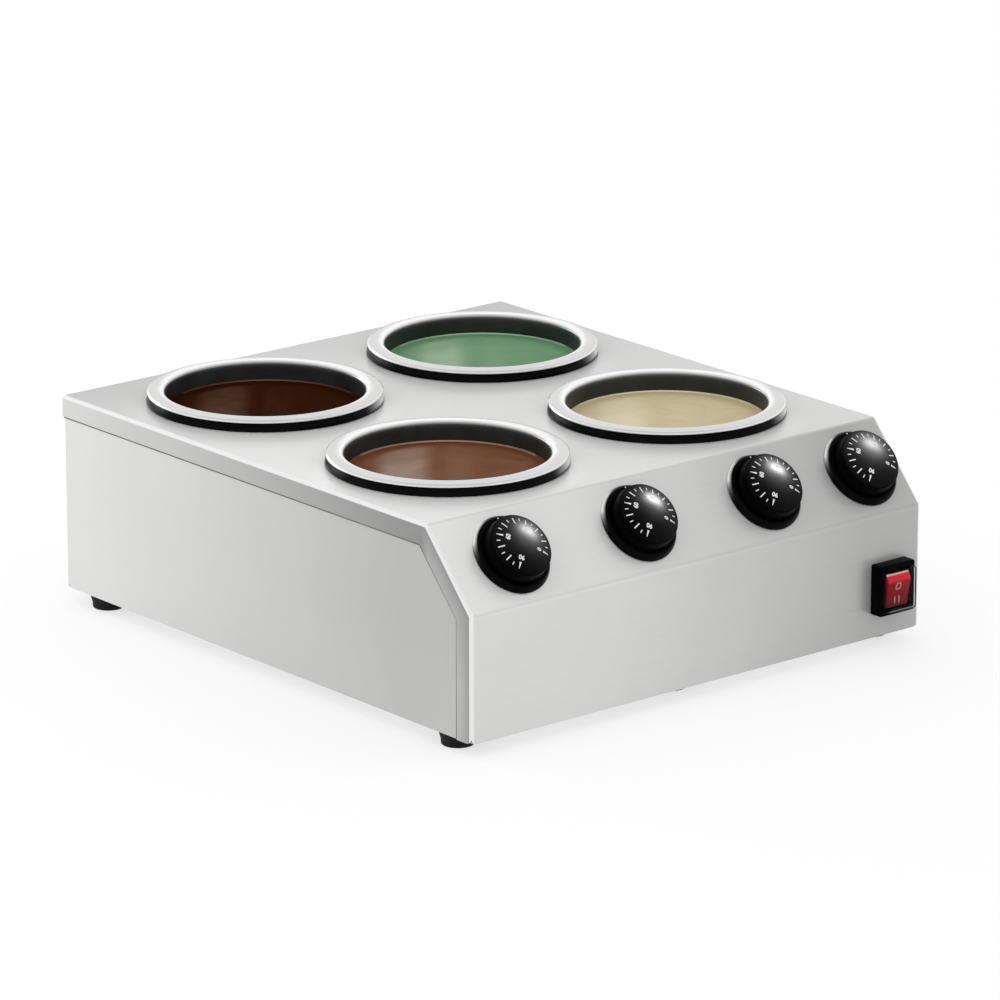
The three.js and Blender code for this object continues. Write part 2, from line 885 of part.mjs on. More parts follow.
function glandLocknut() {
  const top = -sheet - seat;
  return bar(glandHexRadius, [top - locknutThickness, top], hexSides).subtract(
    bar(glandThreadRadius + seat, [top - locknutThickness - overrun, top + overrun], smallSides),
  );
}

function glandNut() {
  const bottom = 2 * seat + glandFlangeThickness;
  const top = bottom + glandNutLength;
  const hexTop = bottom + glandNutHexShare * glandNutLength;
  const domeRadius = glandDomeShare * glandHexRadius;
  const innerTop = top - glandDomeWall;
  const shell = turned(
    [
      [glandThreadRadius + seat, bottom],
      [glandHexRadius * Math.cos(Math.PI / hexSides), bottom],
      [glandHexRadius * Math.cos(Math.PI / hexSides), hexTop],
      [domeRadius, top],
      [glandBoreRadius + seat, top],
      [glandBoreRadius + seat, innerTop],
      [glandThreadRadius + seat, innerTop - glandDomeWall],
    ],
    smallSides,
  );
  const hex = bar(glandHexRadius, [bottom, hexTop], hexSides).subtract(
    bar(glandThreadRadius + seat, [bottom - overrun, hexTop + overrun], smallSides),
  );
  return shell.add(hex);
}

function glandSeal() {
  const bottom = seat + glandFlangeThickness + glandThreadReach - sealLength + seat;
  return turned(
    [
      [glandBoreRadius, bottom],
      [glandThreadRadius, bottom],
      [glandThreadRadius, bottom + sealLength / 2],
      [glandBoreRadius + seat, bottom + sealLength],
      [glandBoreRadius, bottom + sealLength],
    ],
    smallSides,
  );
}

// A stepped block with a slot between its poles.
function terminalBlock() {
  const bottom = base + sheet + seat;
  const middleY = back - terminalFromBack;
  const half = terminalWidth / 2;
  const lower = block(
    [-half, half],
    [middleY - terminalDepth / 2, middleY + terminalDepth / 2],
    [bottom, bottom + terminalHeight - terminalStep],
  );
  const upper = block(
    [-half, half],
    [middleY - terminalDepth / 4, middleY + terminalDepth / 4],
    [bottom, bottom + terminalHeight],
  );
  const slots = [];
  for (let i = 1; i < terminalPoles; i += 1) {
    const x = -half + (i * terminalWidth) / terminalPoles;
    slots.push(
      block(
        [x - terminalSlot / 2, x + terminalSlot / 2],
        [middleY - terminalDepth, middleY + terminalDepth],
        [bottom + terminalStep, bottom + terminalHeight + overrun],
      ),
    );
  }
  return cutAway(lower.add(upper), ...slots);
}

// The inner wires: a spine from the terminal block, legs to the heaters and a bus behind the front.
function wiringHarness() {
  const z = base + sheet + seat + wireRadius;
  const busY = front + busFromFront;
  const spineBack = back - terminalFromBack - terminalDepth / 2 - seat;
  const at = (x, y, up = z) => new THREE.Vector3(x, y, up);
  const runs = [[at(0, spineBack), at(0, busY)]];
  runs.push([at(knobPlaces[0], busY), at(switchX, busY)]);
  for (const side of [-1, 1]) {
    for (const y of Object.values(potRowsY)) {
      const x = side * (potColumnsX.right - heaterTabSpread);
      runs.push([at(0, y), at(x - side * heaterLegLength, y), at(x, y, z + wireRadius)]);
    }
  }
  for (const x of [...knobPlaces, switchX]) {
    runs.push([at(x, busY), at(x, busY, z + wireClimbHeight)]);
  }
  return joined(...runs.map((points) => tube(points, wireRadius, points.length - 1)));
}

const housing = new THREE.Group();
housing.position.y = originShift;

housing.add(
  piece("top_cover", topCover(), "steel"),
  piece("left_side_panel", sidePanel(-panelOuter, -panelInner), "panelSteel"),
  piece("right_side_panel", sidePanel(panelInner, panelOuter), "panelSteel"),
  piece("rear_panel", rearPanel(), "panelSteel"),
  piece("base_plate", basePlate(), "panelSteel"),
);

const footColumns = { left: left + footFromSide, middle: 0, right: right - footFromSide };
const footRows = { front: front + footFromEnd, rear: back - footFromEnd };
for (const [row, y] of Object.entries(footRows)) {
  for (const [column, x] of Object.entries(footColumns)) {
    const mesh = piece(`foot_${row}_${column}`, foot(), "rubber");
    mesh.position.set(x, y, 0);
    housing.add(mesh);
  }
}

const fillings = { front_left: "milk", rear_left: "dark", rear_right: "green", front_right: "white" };
for (const [row, y] of Object.entries(potRowsY)) {
  for (const [column, x] of Object.entries(potColumnsX)) {
    const place = `${row}_${column}`;
    const station = new THREE.Group();
    station.position.set(x, y, 0);
    station.add(
      piece(`pot_${place}`, pot(), "potMetal"),
      piece(`chocolate_${place}`, chocolate(), fillings[place]),
      piece(`collar_${place}`, collar(), "blackGloss"),
      piece(`well_${place}`, well(), "wellMetal"),
      piece(`heater_${place}`, heater(), "heater"),
    );
    housing.add(station);
  }
}

knobPlaces.forEach((x, i) => {
  const number = i + 1;
  const control = new THREE.Group();
  control.applyMatrix4(slopeFrame(x));
  control.add(
    piece(`bezel_${number}`, bezel(), "blackGloss"),
    piece(`knob_${number}`, knob(), "blackGloss"),
    piece(`spindle_${number}`, spindle(), "brightSteel"),
    piece(`thermostat_${number}`, thermostat(), "brightSteel"),
  );
  housing.add(control);
});

// Each outer control serves the rear pot on its side, each inner one the front pot.
const sensorTargets = [
  [potColumnsX.left, potRowsY.rear, 180],
  [potColumnsX.left, potRowsY.front, frontSensorBearings[0]],
  [potColumnsX.right, potRowsY.front, frontSensorBearings[1]],
  [potColumnsX.right, potRowsY.rear, 0],
];
sensorTargets.forEach(([x, y, bearing], i) => {
  housing.add(piece(`sensor_${i + 1}`, sensor(i + 1, x, y, bearing), "copper"));
});

const switchGroup = new THREE.Group();
switchGroup.position.set(switchX, front, switchZ);
switchGroup.rotation.x = Math.PI / 2;
const rockerMesh = piece("switch_rocker", rocker(), "redRocker");
rockerMesh.position.z = pivotDepth;
rockerMesh.rotation.x = THREE.MathUtils.degToRad(rockerTilt);
switchGroup.add(
  piece("switch_housing", switchHousing(), "blackPlastic"),
  rockerMesh,
  piece("switch_cover", switchCap(), "clearCap"),
);
housing.add(switchGroup);

const gland = new THREE.Group();
gland.position.set(0, rearOuter, glandHeight);
gland.rotation.x = -Math.PI / 2;
gland.add(
  piece("gland_body", glandBody(), "blackPlastic"),
  piece("gland_locknut", glandLocknut(), "blackPlastic"),
  piece("gland_nut", glandNut(), "blackPlastic"),
  piece("gland_seal", glandSeal(), "rubber"),
);
housing.add(gland);

housing.add(
  piece("terminal_block", terminalBlock(), "terminal"),
  piece("wiring_harness", wiringHarness(), "wire"),
);

const melter = new THREE.Group();
melter.add(housing);

export default melter;
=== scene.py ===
"""Looks for the countertop chocolate melter, worked out in millimetres in the CAD frame: +Z up, front
towards -Y. Each finished piece is in metres, with its place in its mesh."""
from math import acos, atan2, ceil, cos, hypot, pi, radians, sin, tan

import bmesh
import bpy
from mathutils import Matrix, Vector
import numpy as np
from numpy import array, clip, concatenate, exp, linspace, stack


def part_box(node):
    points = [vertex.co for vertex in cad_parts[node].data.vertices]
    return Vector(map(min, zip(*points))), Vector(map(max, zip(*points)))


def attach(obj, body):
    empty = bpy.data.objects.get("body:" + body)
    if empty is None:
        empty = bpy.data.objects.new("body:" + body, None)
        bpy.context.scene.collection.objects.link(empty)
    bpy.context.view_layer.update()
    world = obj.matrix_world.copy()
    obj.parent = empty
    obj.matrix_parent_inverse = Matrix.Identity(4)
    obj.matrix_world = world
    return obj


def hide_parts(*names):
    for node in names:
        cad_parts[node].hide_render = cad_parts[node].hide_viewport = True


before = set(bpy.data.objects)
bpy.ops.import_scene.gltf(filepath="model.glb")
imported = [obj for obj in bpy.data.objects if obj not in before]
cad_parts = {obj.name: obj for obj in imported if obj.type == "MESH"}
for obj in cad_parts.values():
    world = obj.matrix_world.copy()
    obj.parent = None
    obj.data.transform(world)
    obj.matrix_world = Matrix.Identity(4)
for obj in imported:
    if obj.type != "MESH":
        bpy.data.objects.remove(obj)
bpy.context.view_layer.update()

MM = 0.001
PLACES = ("front_left", "front_right", "rear_left", "rear_right")
NUMBERS = (1, 2, 3, 4)
SIDES = {"left": -1, "right": 1}


def box_mm(node):
    """Lowest and highest corner of a CAD node in millimetres."""
    low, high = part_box(node)
    return array(low) / MM, array(high) / MM


def middle_mm(node):
    return sum(box_mm(node)) / 2


# Sizes of the housing, as in the CAD part
SHEET = 1
BEND = 2.6
SIDE_BEND = 2.2
LIP = 15
SLOPE_RUN = 46.3
SLOPE_DROP = 52
UNDERSIDE = 10
CORNER = 4.6  # round of the sheets' lower front corners
REAR_CORNER = 5
SEAT = 0.3
cover_low, cover_high = box_mm("top_cover")
FRONT, BACK, DECK = cover_low[1], cover_high[1], cover_high[2]
HALF_WIDTH = cover_high[0]
SLOPE_ANGLE = atan2(SLOPE_DROP, SLOPE_RUN)
SLOPE_FOOT = DECK - SLOPE_DROP
SUPPORT = 0.4  # width of the narrow faces that hold a bend's shape
VIEWER = -129.8  # the bearing the photo was taken from, in degrees

# Sizes of the pots and what holds them
MOUTH = 69.7
RIM = 82.3
RIM_UNDER = 156.2
RIM_TOP = 158.8
POT_WALL = 1.2
POT_FLOOR = 64
POT_BOTTOM = 52
POT_CORNER = 12
CHOCOLATE_TOP = 145
COLLAR = 83
COLLAR_BORE = 72.4
COLLAR_SPIGOT = 77.2
WELL = 77.6
WELL_FLANGE = 7

# Sizes of the controls
KNOB_FACE = 22.5
KNOB_FACE_HEIGHT = 14.4
KNOB_CROWN = 4.1
KNOB_SKIRT = 23.7
KNOB_UNDER = 5.5
BEZEL = 28.6
BEZEL_TOP = 5
SPINDLE_HOLE = 5.3
SWITCH_HOLE = (13.8, 15.3)  # half sizes
FRAME_REACH = 10
PIVOT = 5
TILT = radians(9)

# How many columns a turned piece has
POT_SIDES = 144
KNOB_SIDES = 120
WELL_SIDES = 112


# Building meshes

def polar(angle, radius=1):
    """Points at an angle and a distance from the middle."""
    return radius * stack([np.cos(angle), np.sin(angle)], -1)


def cells(rows, columns, closed, around):
    """Row and column of every quad's four corners in a grid, counted on past a closed edge."""
    r, c = np.arange(rows - (not closed)), np.arange(columns - (not around))
    r, c = (a.ravel() for a in np.meshgrid(r, c, indexing="ij"))
    return stack([r, r, r + 1, r + 1], 1), stack([c, c + 1, c + 1, c], 1)


def along(points, axis):
    """Mean running length of a grid of points along one axis, with one value for the way back."""
    steps = np.linalg.norm(np.roll(points, -1, axis) - points, axis=2).mean(1 - axis)
    return concatenate([[0], np.cumsum(steps)])


class Shape:
    """Collects grids of points into one mesh, with a UV map in metres and a mark for every point."""

    def __init__(self):
        self.parts = [], [], [], []
        self.count = 0

    def add(self, points, closed=False, around=True, mark=0, keep=None):
        """A grid whose last row meets its first when closed, its last column its first when around."""
        rows, columns = points.shape[:2]
        r, c = cells(rows, columns, closed, around)
        faces = self.count + (r % rows) * columns + c % columns
        uv = stack([along(points, 1)[c], along(points, 0)[r]], 2) * MM
        if keep is not None:
            faces, uv = faces[keep.ravel()], uv[keep.ravel()]
        marks = np.broadcast_to(mark, (rows, columns)).ravel()
        for part, values in zip(self.parts, (points.reshape(-1, 3), faces, uv, marks)):
            part.append(values)
        self.count += rows * columns
        return self

    def cap(self, loop):
        """Closes a loop of points to its middle, row by row."""
        return self.add(stack([loop, np.broadcast_to(loop.mean(0), loop.shape)]))

    def tube(self, grid, mark=0):
        """A grid that goes around, with both ends capped."""
        return self.add(grid, mark=mark).cap(grid[0]).cap(grid[-1])

    def slab(self, x, y, height, lift, sink, where):
        """A thin closed solid over a grid of places, from sink below a height to lift above it."""
        top, bottom = (placed(stack([x, y, height + d], 2), *where) for d in (lift, -sink))
        self.add(top, around=False).add(bottom[:, ::-1], around=False)
        rim = lambda g: concatenate([g[0], g[1:, -1], g[-1, -2::-1], g[-2:0:-1, 0]])
        return self.add(stack([rim(bottom), rim(top)]))

    def mesh(self, name, material):
        points, faces, uvs, marks = (concatenate(part) for part in self.parts)
        mesh = bpy.data.meshes.new(name)
        mesh.from_pydata(points * MM, [], faces.tolist())
        mesh.uv_layers.new(name="UVMap").data.foreach_set("uv", uvs.ravel())
        mark = mesh.attributes.new("mark", "FLOAT", "POINT")
        mark.data.foreach_set("value", marks.astype(np.float32))
        cleaned(mesh, dissolve=True)
        mesh.materials.append(material)
        return mesh

    def finish(self, name, slot_name, material, body="housing", replaces=(), sharp=50, thickness=0):
        """Makes the object, its edges kept sharp where they turn by more than an angle."""
        mesh = self.mesh(name, material)
        piece = new_object(name, mesh)
        if thickness:
            solid = piece.modifiers.new("thickness", "SOLIDIFY")
            solid.thickness, solid.offset, solid.use_even_offset = thickness * MM, -1, True
            piece.data = evaluated_mesh(piece)
            piece.modifiers.clear()
            bpy.data.meshes.remove(mesh)
        piece.data.shade_smooth()
        piece.data.set_sharp_from_angle(angle=radians(sharp))
        return dress(piece, body, replaces)


def cleaned(mesh, dissolve=False):
    """Merges a mesh's doubles and turns its faces outward."""
    bm = bmesh.new()
    bm.from_mesh(mesh)
    bmesh.ops.remove_doubles(bm, verts=bm.verts, dist=0.002 * MM)
    if dissolve:
        bmesh.ops.dissolve_degenerate(bm, edges=bm.edges, dist=0.0005 * MM)
    bmesh.ops.recalc_face_normals(bm, faces=bm.faces)
    bm.to_mesh(mesh)
    bm.free()


def new_object(name, data):
    made = bpy.data.objects.new(name, data)
    bpy.context.scene.collection.objects.link(made)
    return made


def evaluated_mesh(piece):
    graph = bpy.context.evaluated_depsgraph_get()
    return bpy.data.meshes.new_from_object(piece.evaluated_get(graph))


def dress(piece, body, replaces=()):
    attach(piece, body)
    if replaces:
        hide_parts(*replaces)
    return piece


def rounded(corners, steps=6, closed=False):
    """A polyline whose corners (a, b, radius) are rounded by true arcs that touch both sides."""
    made, count = [], len(corners)
    for i, (a, b, radius) in enumerate(corners):
        here = array([a, b], float)
        if radius == 0 or (not closed and i in (0, count - 1)):
            made.append(here[None])
            continue
        ways = [array(corners[j % count][:2], float) - here for j in (i - 1, i + 1)]
        before, after = (way / np.linalg.norm(way) for way in ways)
        half = acos(clip(before @ after, -1, 1)) / 2
        middle = (before + after) / np.linalg.norm(before + after)
        centre = here + middle * radius / sin(half)
        touching = [here + way * radius / tan(half) - centre for way in (before, after)]
        start, end = (atan2(*point[::-1]) for point in touching)
        turn = (end - start + pi) % (2 * pi) - pi
        made.append(centre + polar(start + turn * linspace(0, 1, steps + 1), radius))
    return concatenate(made)


def turned(profile, sides, centre=(0, 0), hex_rows=None):
    """Points of a profile of radius and height turned about Z: (r cos t, r sin t, z).
    Where hex_rows is 1, the circle becomes the hexagon round the same radius."""
    t = linspace(0, 2 * pi, sides, endpoint=False)
    radius = np.repeat(profile[:, :1], sides, 1)
    if hex_rows is not None:
        sixth = pi / 3
        hexagon = cos(sixth / 2) / np.cos(t % sixth - sixth / 2)
        radius = radius * (1 + hex_rows[:, None] * (hexagon - 1))
    height = np.broadcast_to(profile[:, 1:2, None], (*radius.shape, 1))
    return concatenate([centre + radius[..., None] * polar(t), height], 2)


def bearing(sides, towards):
    """Degrees round a turned piece from a direction, within 180 either way, for every column."""
    return (linspace(0, 360, sides, endpoint=False) - towards + 180) % 360 - 180


def placed(points, origin, across, up, out):
    """Points of a local frame moved to the housing: origin + a across + b up + c out."""
    return np.asarray(origin, float) + points @ stack([across, up, out]).astype(float)


def lathe_piece(name, profile, sides, slot_name, material, centre=(0, 0), where=None, hex_rows=None,
                mark=0, **rest):
    """A turned profile as a piece. The profile closes on itself unless it starts on the axis."""
    points = turned(profile, sides, centre, hex_rows)
    if where:
        points = placed(points, *where)
    shape = Shape().add(points, closed=profile[0, 0] > 0, mark=mark)
    return shape.finish(name, slot_name, material, **rest)


# Building materials

class Graph:
    """A node tree with short ways to add the nodes used here. Each takes plain values or the
    sockets that feed them."""

    def __init__(self, tree):
        self.tree = tree

    def feed(self, sockets, values):
        for key, value in values.items():
            if isinstance(value, bpy.types.NodeSocket):
                self.tree.links.new(value, sockets[key])
            else:
                sockets[key].default_value = value

    def node(self, kind, inputs=None, **settings):
        """Adds a node and gives its outputs."""
        made = self.tree.nodes.new("ShaderNode" + kind)
        for key, value in settings.items():
            setattr(made, key, value)
        self.feed(made.inputs, inputs or {})
        return made.outputs

    def maths(self, operation, *values):
        return self.node("Math", dict(enumerate(values)), operation=operation)[0]

    def times(self, first, *others):
        for value in others:
            first = self.maths("MULTIPLY", first, value)
        return first

    def vectors(self, operation, *values):
        return self.node("VectorMath", dict(enumerate(values)), operation=operation)

    def mapped(self, value, low=0, high=1, to_low=0, to_high=1):
        return self.node("MapRange", dict(enumerate((value, low, high, to_low, to_high))))["Result"]

    def blend(self, factor, a, b):
        """From a at a factor of 0 to b at 1."""
        return self.node("Mix", {0: factor, 2: a, 3: b})[0]

    def mixed(self, factor, a, b, **settings):
        """A mix of two colours, a plain one given as three numbers."""
        a, b = ((*c, 1) if isinstance(c, tuple) else c for c in (a, b))
        return self.node("Mix", {0: factor, 6: a, 7: b}, data_type="RGBA", **settings)[2]

    def noise(self, vector, scale, detail=2, rough=0.5):
        inputs = {"Vector": vector, "Scale": scale, "Detail": detail, "Roughness": rough}
        return self.node("TexNoise", inputs)["Fac"]

    def place(self, source="Object"):
        return self.node("TexCoord")[source]

    def parts(self, vector):
        return self.node("SeparateXYZ", {0: vector})

    def mark(self):
        return self.node("Attribute", attribute_name="mark")["Fac"]

    def use(self, which, **inputs):
        return self.node("Group", inputs, node_tree=which)

    def bump(self, height, strength, distance):
        inputs = {"Height": height, "Strength": strength, "Distance": distance}
        return self.node("Bump", inputs)["Normal"]


def evenly(size):
    return size, size, size


def group(name, inputs, outputs):
    """An empty node group, its inputs given with their resting values."""
    tree = bpy.data.node_groups.new(name, "ShaderNodeTree")
    add = tree.interface.new_socket
    for label, value in inputs.items():
        kind = "NodeSocketVector" if isinstance(value, tuple) else "NodeSocketFloat"
        add(name=label, in_out="INPUT", socket_type=kind).default_value = value
    for label in outputs:
        add(name=label, in_out="OUTPUT", socket_type="NodeSocketFloat")
    into, out = (tree.nodes.new(kind) for kind in ("NodeGroupInput", "NodeGroupOutput"))
    return Graph(tree), into.outputs, out.inputs


def grain_group():
    """Brushed lines: noise drawn out along one way, a finer set over it, and slow cloudiness."""
    g, into, out = group("brushed_grain", {"Vector": evenly(0), "Stretch": (1, 1, 1), "Place": evenly(0)},
                         ("Lines", "Clouds", "Height"))
    lines = g.vectors("MULTIPLY", into["Vector"], into["Stretch"])[0]
    both = g.maths("MULTIPLY_ADD", g.noise(lines, 0.35), 0.65, g.times(g.noise(lines, 1), 0.35))
    clouds = g.noise(into["Place"], 9, 3)
    g.feed(out, {"Lines": g.mapped(both, 0.2, 0.8), "Clouds": g.mapped(clouds, 0.3, 0.7), "Height": both})
    return g.tree


def mottle_group():
    """Moulded skin: small soft cells for the surface, and specks of dust."""
    g, into, out = group("moulded_skin", {"Vector": evenly(0), "Scale": 400}, ("Mottle", "Dust", "Height"))
    vector, scale = into["Vector"], into["Scale"]
    wide = g.noise(vector, g.times(scale, 0.06))
    specks = g.noise(vector, g.times(scale, 2.5), 1)
    g.feed(out, {"Mottle": g.mapped(wide, 0.3, 0.7), "Dust": g.mapped(specks, 0.72, 0.8),
                 "Height": g.noise(vector, scale, 3, 0.6)})
    return g.tree


def painted_tone_group():
    """Painted light and shade on the folded cover: the deck fades towards the back, the slope and the front
    towards the right, and the lips towards the front, where the painted shade is darkest beside the fold.
    It is painted lighter in front of each collar, to make up for the collar's shade. Both bends across the
    cover show as a painted thin darker line with a painted lighter one below it."""
    g, into, out = group("sheet_painted_tone", {"Vector": evenly(0), "Mark": 0}, ("Tone", "Lip"))
    x, y, z = g.parts(into["Vector"])
    top, ridge, crease = DECK * MM, (FRONT + SLOPE_RUN) * MM, SLOPE_FOOT * MM
    # Painted shade towards the back left of the deck.
    behind = g.times(g.mapped(y, 0.03, 0.22, 0, 0.15), g.mapped(x, -0.2, 0, 2.1, 1))
    deck = g.maths("SUBTRACT", g.mapped(x, -0.2, 0.2, 0.87, 0.69), behind)
    viewer = (*polar(radians(VIEWER)), 0)
    edge, reach = COLLAR * MM, 0.022
    for spot in PLACES:
        away = g.vectors("SUBTRACT", into["Vector"], tuple(middle_mm(f"pot_{spot}") * MM))[0]
        flat = g.vectors("MULTIPLY", away, (1, 1, 0))[0]
        far = g.vectors("LENGTH", flat)["Value"]
        ahead = g.vectors("DOT_PRODUCT", flat, viewer)["Value"]
        # Painted light in front of each collar, towards the viewer, against the collar's shade.
        near = g.times(g.mapped(far, edge, edge + reach, 0.27, 0), g.mapped(ahead, 0, 0.06))
        deck = g.times(deck, g.maths("ADD", near, 1))
    # Painted light and shade: the front and the slope darker towards the right.
    front = g.mapped(x, -0.08, 0.15, 0.795, 0.507)
    slope = g.times(front, g.mapped(x, -0.2, -0.12, 1.14, 1.05))
    panels = g.blend(g.mapped(z, crease - 0.0006, crease + 0.0006), front, slope)
    sheet = g.blend(g.mapped(z, top - 0.0004, top - 0.0014), deck, panels)
    # Painted shade and highlight: a thin darker line at each bend, a lighter one below the lower bend.
    lines = (y, ridge, 0.0013, 0.88), (z, crease, 0.0012, 0.9), (z, crease - 0.0022, 0.0012, 1.05)
    for way, line, width, depth in lines:
        off = g.maths("ABSOLUTE", g.maths("SUBTRACT", way, line))
        sheet = g.times(sheet, g.mapped(off, 0, width, depth, 1))
    # Painted shade on the lips, darkest beside the fold and lighter low down.
    shade = g.times(g.mapped(into["Mark"], -1, -0.55, 0.96, 1.56), g.mapped(z, 0.09, 0.045, 1, 1.2))
    shade = g.blend(g.mapped(y, -0.176, -0.182), 1, shade)
    lip = g.times(g.mapped(y, -0.17, 0.21, 0.325, 0.79), shade)
    on_lip = g.mapped(into["Mark"], -0.1, -0.4)
    g.feed(out, {"Tone": g.blend(on_lip, sheet, lip), "Lip": on_lip})
    return g.tree


GRAIN, MOTTLE, PAINTED_TONE = grain_group(), mottle_group(), painted_tone_group()


def new_material(name, **plain):
    """A material with a Principled shader whose plain values are set on its own sockets."""
    made = bpy.data.materials.new(name)
    made.use_nodes = True
    shader = made.node_tree.nodes["Principled BSDF"].inputs
    for key, value in plain.items():
        shader[key.replace("_", " ")].default_value = value
    return made, Graph(made.node_tree), shader


ACROSS = (30, 1500, 1500)
LENGTHWISE = (1500, 30, 1500)
AROUND = (25, 2200, 1)
ON_LIP = (1500, 40, 1)


def brushed_steel(name, level, rough, stretch, source="Object", contrast=0.03, edge=None,
                  tint=(1, 1, 0.99), metal=1):
    """Brushed stainless sheet, satin where it is less than fully metallic. Where the mark is above 0,
    on folds and rolled edges, a painted highlight makes it bright; below 0 a painted shade dims it by
    that share. The level is a number, or "side" for a sheet with painted light, lighter towards the back
    and low down at the front, or "cover" for the folded cover's painted light and shade, with the lines
    turned on its lips."""
    made, g, shader = new_material(name, Metallic=metal, Specular_IOR_Level=0.3)
    vector, mark = g.place(source), g.mark()
    lines, painted_dimming = vector, 1
    if level == "cover":
        # The cover's level is its painted light and shade.
        tone = g.use(PAINTED_TONE, Vector=vector, Mark=mark)
        level = tone["Tone"]
        flat, on_lip = (g.vectors("MULTIPLY", *pair)[0]
                        for pair in ((vector, stretch), (g.place("UV"), ON_LIP)))
        lines = g.node("Mix", {0: tone["Lip"], 4: flat, 5: on_lip}, data_type="VECTOR")[1]
        stretch = evenly(1)
    else:
        # Painted shade where the mark is below 0.
        painted_dimming = g.mapped(mark, -1, 0)
    if level == "side":
        # Painted light: lighter towards the back, and lighter low down at the front.
        _, y, z = g.parts(vector)
        low = g.times(g.mapped(y, -0.2, 0.02, 0.13, 0), g.mapped(z, 0.08, 0.015))
        level = g.times(g.mapped(y, -0.15, 0.2, 0.53, 0.8), g.maths("ADD", low, 1))
    grain = g.use(GRAIN, Vector=lines, Stretch=stretch, Place=vector)
    change = g.maths("MULTIPLY_ADD", grain["Clouds"], 0.5, g.times(grain["Lines"], 0.5))
    tone = g.times(level, g.blend(change, 1 - contrast, 1 + contrast), painted_dimming)
    colour = g.mixed(tone, evenly(0), tint)
    # Painted highlight where the mark is above 0.
    if edge:
        colour = g.mixed(g.mapped(mark), colour, evenly(edge))
    g.feed(shader, {"Base Color": colour, "Normal": g.bump(grain["Height"], 0.03, 0.00004),
                    "Roughness": g.blend(grain["Lines"], rough * 0.88, rough * 1.12)})
    return made


def moulded(name, colour, rough, scale=400, spread=0.25, strength=0.1, dust=0.3, pale=None, gloss=0.5):
    """Moulded plastic or rubber: slight tone changes, a fine skin and a little dust. The pale level is
    painted light where the mark is 1: a painted highlight on the bezel and at the top of the pot lining,
    a painted reflection on the collar, and the seam painted paler towards the front."""
    made, g, shader = new_material(name, Specular_IOR_Level=gloss)
    colour = colour if isinstance(colour, tuple) else evenly(colour)
    skin = g.use(MOTTLE, Vector=g.place(), Scale=scale)
    light = tuple(min(1, c * (1 + spread) + 0.001) for c in colour)
    tone = g.mixed(skin["Mottle"], tuple(c * (1 - spread) for c in colour), light)
    tone = g.mixed(g.times(skin["Dust"], dust * 0.1), tone, (0.5, 0.48, 0.45))
    # Painted light where the mark is above 0.
    if pale:
        tone = g.mixed(g.mapped(g.mark()), tone, evenly(pale))
    level = g.blend(skin["Mottle"], rough * 0.85, rough * 1.15)
    g.feed(shader, {"Base Color": tone, "Roughness": g.maths("MULTIPLY_ADD", skin["Dust"], 0.2, level),
                    "Normal": g.bump(skin["Height"], strength, 0.00005)})
    return made


def melted(name, deep, pale, wet=0.25, painted_sheen=(0.125, 0.12, 0.1), band=(0.8, 0.6, 0.5), line=1.7):
    """Melted chocolate: slow swirls between two tones. The mark runs from 0 to 1 where a glossy coat and
    a painted reflection show, down to -1 at the painted shade of the deeper band round the wall, and
    above 1 on the thin painted highlight line there."""
    made, g, shader = new_material(name, Coat_Roughness=0.16, Specular_IOR_Level=0)
    vector, mark = g.place(), g.mark()
    bent = g.vectors("ADD", vector, g.noise(vector, 14))[0]
    swirl = g.noise(bent, 9, 3, 0.45)
    body = g.mixed(g.mapped(swirl, 0.32, 0.68), deep, pale)
    # Painted shade: the band round the wall is darker where the mark falls below 0.
    body = g.mixed(g.mapped(mark, 0, -1), body, tuple(c * k for c, k in zip(pale, band)))
    # Painted highlight: a thin bright line where the mark is above 1.
    body = g.mixed(g.mapped(mark, 1.05, 2), body, tuple(min(1, c * line + 0.06) for c in pale))
    patchy = g.mapped(g.noise(vector, 60), 0.3, 0.7, 0.8, 1.1)
    shine = g.times(g.mapped(mark), patchy)
    # Painted reflection added to the colour, and a real glossy coat, where the mark is up to 1.
    g.feed(shader, {"Base Color": g.mixed(shine, body, painted_sheen, blend_type="ADD"),
                    "Coat Weight": g.times(shine, wet), "Normal": g.bump(swirl, 0.15, 0.0008),
                    "Roughness": g.mapped(swirl, 0.3, 0.7, 0.176, 0.286)})
    return made


def lit_red():
    """Clear red plastic over a dark body: deep red on the face, with painted shade darker downwards, and a
    painted highlight, bright red where the mark is 1 and almost white where it is 2."""
    made, g, shader = new_material("rocker_red", Specular_IOR_Level=0.04)
    skin, mark = g.use(MOTTLE, Vector=g.place(), Scale=260), g.mark()
    height = g.parts(g.place())["Z"]
    red = g.mixed(skin["Mottle"], (0.34, 0.009, 0.018), (0.42, 0.012, 0.024))
    # Painted shade: darker downwards.
    red = g.mixed(g.mapped(height, 0.031, 0.05, 0.75, 0), red, (0.05, 0.012, 0.01))
    # Painted highlight on the top face, almost white along its edge.
    red = g.mixed(g.mapped(mark), red, (0.86, 0.035, 0.055))
    red = g.mixed(g.mapped(mark, 1, 2), red, (0.95, 0.72, 0.7))
    g.feed(shader, {"Base Color": red, "Roughness": g.blend(skin["Mottle"], 0.2, 0.28)})
    return made


def clear_plastic():
    made, g, shader = new_material("cap_clear_plastic", Metallic=0, Transmission_Weight=1, IOR=1.08)
    skin = g.use(MOTTLE, Vector=g.place(), Scale=260)
    g.feed(shader, {"Base Color": g.mixed(skin["Mottle"], (0.86, 0.9, 0.88), (0.95, 0.97, 0.96)),
                    "Roughness": g.blend(skin["Mottle"], 0, 0.04),
                    "Normal": g.bump(skin["Height"], 0.06, 0.00005)})
    return made


